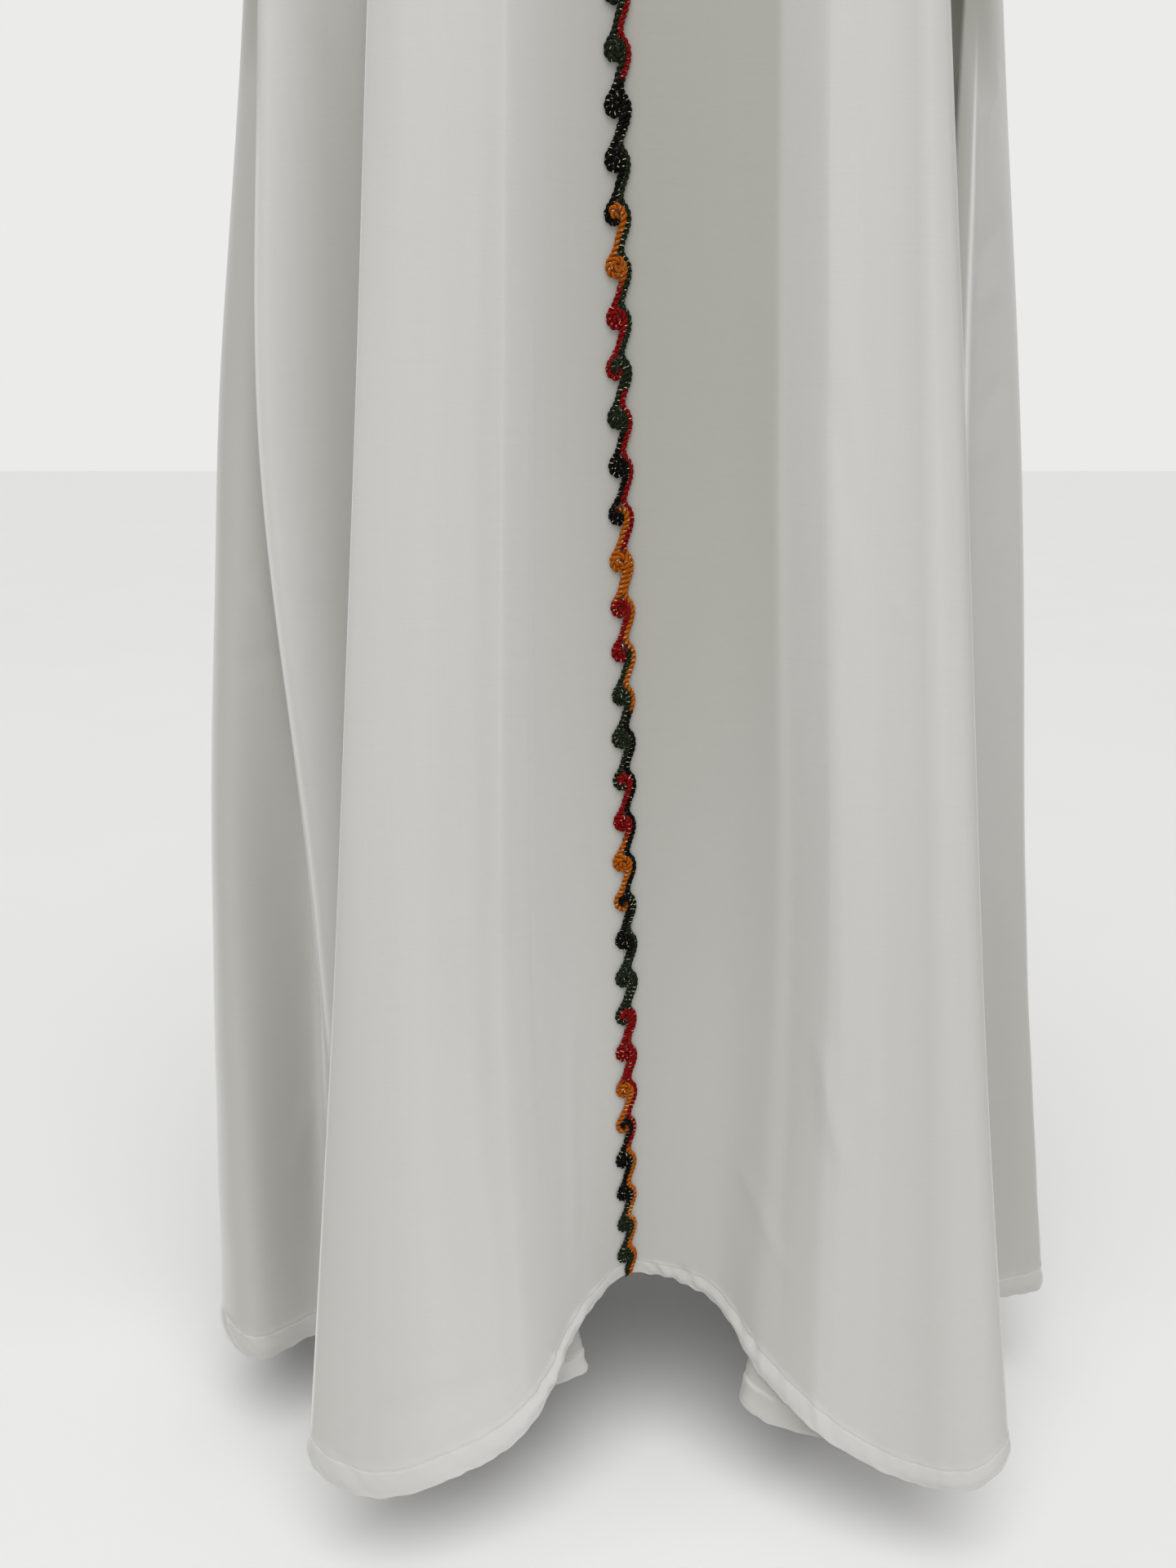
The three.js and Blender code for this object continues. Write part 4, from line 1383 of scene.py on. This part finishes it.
def cord_finish(settings):
    """Space-dyed cord: fine yarns round each ply, painted shade between the yarns and painted highlight on
    them, and one bright metal filament.
    """
    finish = Finish("space-dyed glinting cord")
    cut = finish.node("ShaderNodeUVMap", {"uv_map": "cut"})
    split = finish.node("ShaderNodeSeparateXYZ", sockets={"Vector": cut}, result="X")
    length = finish.other_result(split, "Y")
    twist = split + length * 260
    yarns = (twist * (5 * 2 * math.pi)).sine()
    place = finish.node("ShaderNodeTexCoord", result="Object")
    fuzz = finish.noise(place, (2400, 2400, 2400), 3, 0.6)
    breaks = finish.noise(place, (330, 330, 330), 1, 0.5)
    turn = (split - length * 300).fraction()
    filament = (0.5 - (turn - 0.5).size()).between(0.45, 0.485)
    glint = filament * breaks.between(0.5, 0.55) * settings.glint
    # dye with the painted shade between the plies already in it
    dye = finish.attribute("dye", "Color")
    # painted shade between the yarns and painted highlight on their tops, multiplied into the dye
    rib_shading = finish.blend(yarns * 0.5 + 0.5, (0.55, 0.55, 0.55, 1), (1.2, 1.2, 1.2, 1))
    settings_of_mix = {"data_type": "RGBA", "blend_type": "MULTIPLY"}
    sockets = {"Factor_Float": 1.0, "A_Color": dye, "B_Color": rib_shading}
    rib_shaded_dye = finish.node("ShaderNodeMix", settings_of_mix, sockets, "Result_Color")
    fuzzed = finish.blend(fuzz.between(0.45, 0.8) * 0.06, rib_shaded_dye, (0.3, 0.27, 0.2, 1))
    colour = finish.blend(glint, fuzzed, colour4(settings.filament))
    return finish.surface(
        {
            "Base Color": colour,
            "Metallic": glint * 0.9,
            "Roughness": 0.7 - glint * 0.45 + fuzz * 0.1,
            "Normal": finish.bump(yarns * 0.5 + fuzz * 0.8, 0.5, 0.0002),
            "Specular IOR Level": 0.06,
        }
    )


def floor_finish(stage):
    """A pale, slightly clouded studio floor."""
    finish = Finish("pale studio floor")
    place = finish.node("ShaderNodeTexCoord", result="Object")
    cloud = finish.noise(place, (1.3, 1.3, 1.3), 4, 0.55)
    speck = finish.noise(place, (220, 220, 220), 2, 0.5)
    dusty, clean = colour4(stage.floor_colour, 0.985), colour4(stage.floor_colour, 1.015)
    colour = finish.blend(cloud * 0.7 + speck * 0.3, dusty, clean)
    return finish.surface(
        {"Base Color": colour, "Roughness": 0.7 + cloud * 0.12, "Normal": finish.bump(speck, 0.05, 0.0005)}
    )


# ---------------------------------------------------------------- settings


def length_setting(name, description, default, low, high):
    return bpy.props.FloatProperty(
        name=name, description=description, default=default, min=low, max=high, unit="LENGTH", precision=4
    )


def share_setting(name, description, default, high=1.0):
    return bpy.props.FloatProperty(
        name=name, description=description, default=default, min=0.0, max=high, subtype="FACTOR"
    )


def colour_setting(name, description, default):
    return bpy.props.FloatVectorProperty(
        name=name, description=description, default=default, min=0.0, max=1.0, size=3, subtype="COLOR"
    )


class ClothSettings(bpy.types.PropertyGroup):
    """Sizes and colours of the satin panels."""

    thickness: length_setting("Thickness", "Thickness of one layer of cloth", 0.0006, 0.0002, 0.002)
    hem_depth: length_setting("Hem depth", "How deep the hem and cuffs are turned up", 0.023, 0.008, 0.06)
    stitch_length: length_setting("Stitch length", "Length of one sewing stitch", 0.0029, 0.001, 0.006)
    stitch_gap: length_setting("Stitch gap", "Gap between two stitches", 0.0009, 0.0002, 0.003)
    thread_width: length_setting("Thread width", "Thickness of the sewing thread", 0.0004, 0.0001, 0.001)
    crease_depth: share_setting("Crease depth", "How strongly the creases show", 1.0, 2.0)
    colour: colour_setting("Cloth", "Colour of the satin", (0.665, 0.66, 0.645))
    # colour of the painted shade where one layer hangs over the open inside
    lone_shade_colour: colour_setting("Lone layer", "Colour over the open inside", (0.405, 0.4, 0.362))
    # colour of the painted highlight on hems, which the sewing thread takes too
    doubled_highlight_colour: colour_setting("Doubled cloth", "Colour of hems", (0.7, 0.695, 0.68))
    # colour of the painted sheen and of the painted highlights on fold edges
    painted_sheen_colour: colour_setting("Rim", "Colour of the sheen where a fold turns away", (0.86, 0.855, 0.845))
    roughness: share_setting("Roughness", "Dullness of the satin", 0.42)


class BraidSettings(bpy.types.PropertyGroup):
    """Sizes and dyes of the scroll braid."""

    repeat: length_setting("Repeat", "Distance from one curl to the next", 0.0361, 0.02, 0.06)
    cord_width: length_setting("Cord width", "Thickness of one twisted cord", 0.005, 0.001, 0.006)
    lay: length_setting("Lay", "Length of one full twist of a cord", 0.0086, 0.002, 0.02)
    ring_step: length_setting("Ring step", "Length of one face along a cord", 0.00085, 0.0005, 0.002)
    glint: share_setting("Glint", "Brightness of the metal filament", 0.85)
    black: colour_setting("Black", "Black dye", (0.002, 0.002, 0.002))
    green: colour_setting("Green", "Dark green dye", (0.012, 0.021, 0.009))
    red: colour_setting("Red", "Red dye", (0.25, 0.0015, 0.0025))
    orange: colour_setting("Orange", "Orange dye", (0.47, 0.108, 0.003))
    filament: colour_setting("Filament", "Colour of the metal filament", (0.95, 0.86, 0.62))


class StageSettings(bpy.types.PropertyGroup):
    """Floor, lights and camera."""

    floor_drop: length_setting("Floor", "How far the floor lies below the neck", 1.56, 1.0, 2.5)
    floor_colour: colour_setting("Floor colour", "Colour of the floor", (0.93, 0.93, 0.92))
    camera_place: bpy.props.FloatVectorProperty(
        name="Camera",
        description="Place of the camera",
        default=(-0.021, -1.07, -0.59),
        size=3,
        subtype="TRANSLATION",
    )
    camera_tilt: bpy.props.FloatProperty(
        name="Tilt",
        description="How far the camera looks down",
        default=math.radians(15.79),
        subtype="ANGLE",
    )
    focal_length: bpy.props.FloatProperty(
        name="Focal length",
        description="Focal length in millimetres on a sensor 36 mm high",
        default=27.04,
        min=10.0,
    )
    overhead: bpy.props.FloatProperty(
        name="Overhead light", description="Strength of the soft ceiling light", default=2.0, min=0.0
    )
    fill: bpy.props.FloatProperty(
        name="Fill light",
        description="Power of the soft light beside the camera",
        default=4.0,
        min=0.0,
        unit="POWER",
    )
    ambient: share_setting("Ambient", "Brightness of the light from all round", 0.3, 2.0)


# ---------------------------------------------------------------- operators


def declare(piece, node):
    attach(piece, "root")
    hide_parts(node)


def dress(pieces, material):
    for piece in pieces:
        piece.data.materials.clear()
        piece.data.materials.append(material)


def ride_along(piece):
    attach(piece, "root")


class ABAYA_OT_fronts(bpy.types.Operator):
    """Make the two fronts, with their folds, hems and stitches"""

    bl_idname = "abaya.fronts"
    bl_label = "Fronts"

    def execute(self, context):
        cloth = context.scene.abaya_cloth
        satin, thread = satin_finish(cloth), thread_finish(cloth)
        sides = (
            ("left", 0, FRONT_CENTRE, (1.14, 1.55), 1.0),
            ("right", FRONT_CENTRE, FRONT.count - 1, (1.12, 1.56), 0.96),
        )
        for side, start, end, flat, area in sides:
            name = f"front_{side}_cloth"
            tables = (FRONT_CREASES, cloth, LONE_LAYER_SHADE, PAINTED_EDGE_HIGHLIGHTS)
            piece, stitches = panel(name, FRONT, start, end, FRONT_CENTRE, *tables)
            dress([piece], satin)
            dress([stitches], thread)
            ride_along(stitches)
            declare(piece, f"front_{side}")
        return {"FINISHED"}


class ABAYA_OT_backs(bpy.types.Operator):
    """Make the two backs, with their folds, hems and stitches"""

    bl_idname = "abaya.backs"
    bl_label = "Backs"

    def execute(self, context):
        cloth = context.scene.abaya_cloth
        satin, thread = satin_finish(cloth), thread_finish(cloth)
        for side, start, end in (("right", 0, REAR_CENTRE), ("left", REAR_CENTRE, REAR.count - 1)):
            name = f"back_{side}_cloth"
            piece, stitches = panel(name, REAR, start, end, REAR_CENTRE, BACK_CREASES, cloth, [], [])
            dress([piece], satin)
            dress([stitches], thread)
            ride_along(stitches)
            declare(piece, f"back_{side}")
        return {"FINISHED"}


class ABAYA_OT_sleeves(bpy.types.Operator):
    """Make the two long sleeves, with their creases, cuffs and stitches"""

    bl_idname = "abaya.sleeves"
    bl_label = "Sleeves"

    def execute(self, context):
        cloth = context.scene.abaya_cloth
        satin, thread = satin_finish(cloth), thread_finish(cloth)
        for side, way in (("left", -1), ("right", 1)):
            piece, stitches = sleeve(f"sleeve_{side}_cloth", way, cloth)
            dress([piece], satin)
            dress([stitches], thread)
            ride_along(stitches)
            declare(piece, f"sleeve_{side}")
        return {"FINISHED"}


class ABAYA_OT_braid(bpy.types.Operator):
    """Lay the two twisted cords of the scroll braid down the centre front"""

    bl_idname = "abaya.braid"
    bl_label = "Scroll braid"

    def execute(self, context):
        settings = context.scene.abaya_braid
        piece = braid_piece(settings, context.scene.abaya_cloth)
        dress([piece], cord_finish(settings))
        ride_along(piece)
        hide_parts("centre_braid")
        return {"FINISHED"}


FLOOR_REACH = 60.0
CEILING_PLACE, CEILING_TURN = (0, 0, 3), (math.radians(28), 0, 0)
CEILING_SPREAD = math.radians(50)
FILL_PLACE, FILL_TURN = (-0.9, -2.2, 0.5), (math.radians(62), 0, math.radians(-22))
FILL_SIZE = 1.6
WALL_COLOUR = (0.83, 0.83, 0.825, 1)
AMBIENT_COLOUR = (1.0, 0.995, 0.985, 1)
SENSOR_HEIGHT = 36.0
NEAREST_SEEN = 0.01


class ABAYA_OT_stage(bpy.types.Operator):
    """Set the floor, the soft studio lights and the camera"""

    bl_idname = "abaya.stage"
    bl_label = "Stage"

    def execute(self, context):
        scene = context.scene
        stage = scene.abaya_stage
        mesh = bpy.data.meshes.new("studio_floor")
        reach = FLOOR_REACH
        corners = [(-reach, -reach), (reach, -reach), (reach, reach), (-reach, reach)]
        mesh.from_pydata([(x, y, -stage.floor_drop) for x, y in corners], [], [(0, 1, 2, 3)])
        floor = bpy.data.objects.new("studio_floor", mesh)
        scene.collection.objects.link(floor)
        dress([floor], floor_finish(stage))

        world = bpy.data.worlds.new("studio air")
        world.use_nodes = True
        scene.world = world
        tree = world.node_tree
        tree.nodes.clear()
        path = tree.nodes.new("ShaderNodeLightPath")
        seen = tree.nodes.new("ShaderNodeBackground")
        seen.inputs["Color"].default_value = WALL_COLOUR
        felt = tree.nodes.new("ShaderNodeBackground")
        felt.inputs["Color"].default_value = AMBIENT_COLOUR
        felt.inputs["Strength"].default_value = stage.ambient
        both = tree.nodes.new("ShaderNodeMixShader")
        output = tree.nodes.new("ShaderNodeOutputWorld")
        tree.links.new(path.outputs["Is Camera Ray"], both.inputs[0])
        tree.links.new(felt.outputs[0], both.inputs[1])
        tree.links.new(seen.outputs[0], both.inputs[2])
        tree.links.new(both.outputs[0], output.inputs["Surface"])

        self.lamp(scene, "ceiling", "SUN", stage.overhead, CEILING_PLACE, CEILING_TURN, angle=CEILING_SPREAD)
        self.lamp(scene, "fill", "AREA", stage.fill, FILL_PLACE, FILL_TURN, size=FILL_SIZE)

        camera = bpy.data.objects.new("camera", bpy.data.cameras.new("camera"))
        camera.location = stage.camera_place
        camera.rotation_euler = (math.pi / 2 - stage.camera_tilt, 0, 0)
        camera.data.lens = stage.focal_length
        camera.data.sensor_width = SENSOR_HEIGHT
        camera.data.clip_start = NEAREST_SEEN
        scene.collection.objects.link(camera)
        scene.camera = camera
        scene.view_settings.view_transform = "Standard"
        return {"FINISHED"}

    @staticmethod
    def lamp(scene, name, kind, strength, place, turn, **settings):
        data = bpy.data.lights.new(name, kind)
        data.energy = strength
        for setting, value in settings.items():
            setattr(data, setting, value)
        lamp = bpy.data.objects.new(name, data)
        lamp.location = place
        lamp.rotation_euler = turn
        scene.collection.objects.link(lamp)


class ABAYA_PT_panel(bpy.types.Panel):
    """The garment's settings and the steps that make it"""

    bl_label = "Abaya"
    bl_space_type = "VIEW_3D"
    bl_region_type = "UI"
    bl_category = "Abaya"

    def draw(self, context):
        for operator in STEPS:
            self.layout.operator(operator.bl_idname)
        for name in GROUPS:
            settings = getattr(context.scene, name)
            box = self.layout.box()
            for setting in settings.bl_rna.properties:
                if setting.identifier not in ("rna_type", "name"):
                    box.prop(settings, setting.identifier)


GROUPS = {"abaya_cloth": ClothSettings, "abaya_braid": BraidSettings, "abaya_stage": StageSettings}
STEPS = (ABAYA_OT_fronts, ABAYA_OT_backs, ABAYA_OT_sleeves, ABAYA_OT_braid, ABAYA_OT_stage)
CLASSES = (*GROUPS.values(), *STEPS, ABAYA_PT_panel)


def register():
    for kind in CLASSES:
        bpy.utils.register_class(kind)
    for name, kind in GROUPS.items():
        setattr(bpy.types.Scene, name, bpy.props.PointerProperty(type=kind))


def unregister():
    for name in GROUPS:
        delattr(bpy.types.Scene, name)
    for kind in reversed(CLASSES):
        bpy.utils.unregister_class(kind)


def main():
    register()
    bpy.ops.abaya.fronts()
    bpy.ops.abaya.backs()
    bpy.ops.abaya.sleeves()
    bpy.ops.abaya.braid()
    bpy.ops.abaya.stage()


if __name__ == "__main__":
    main()
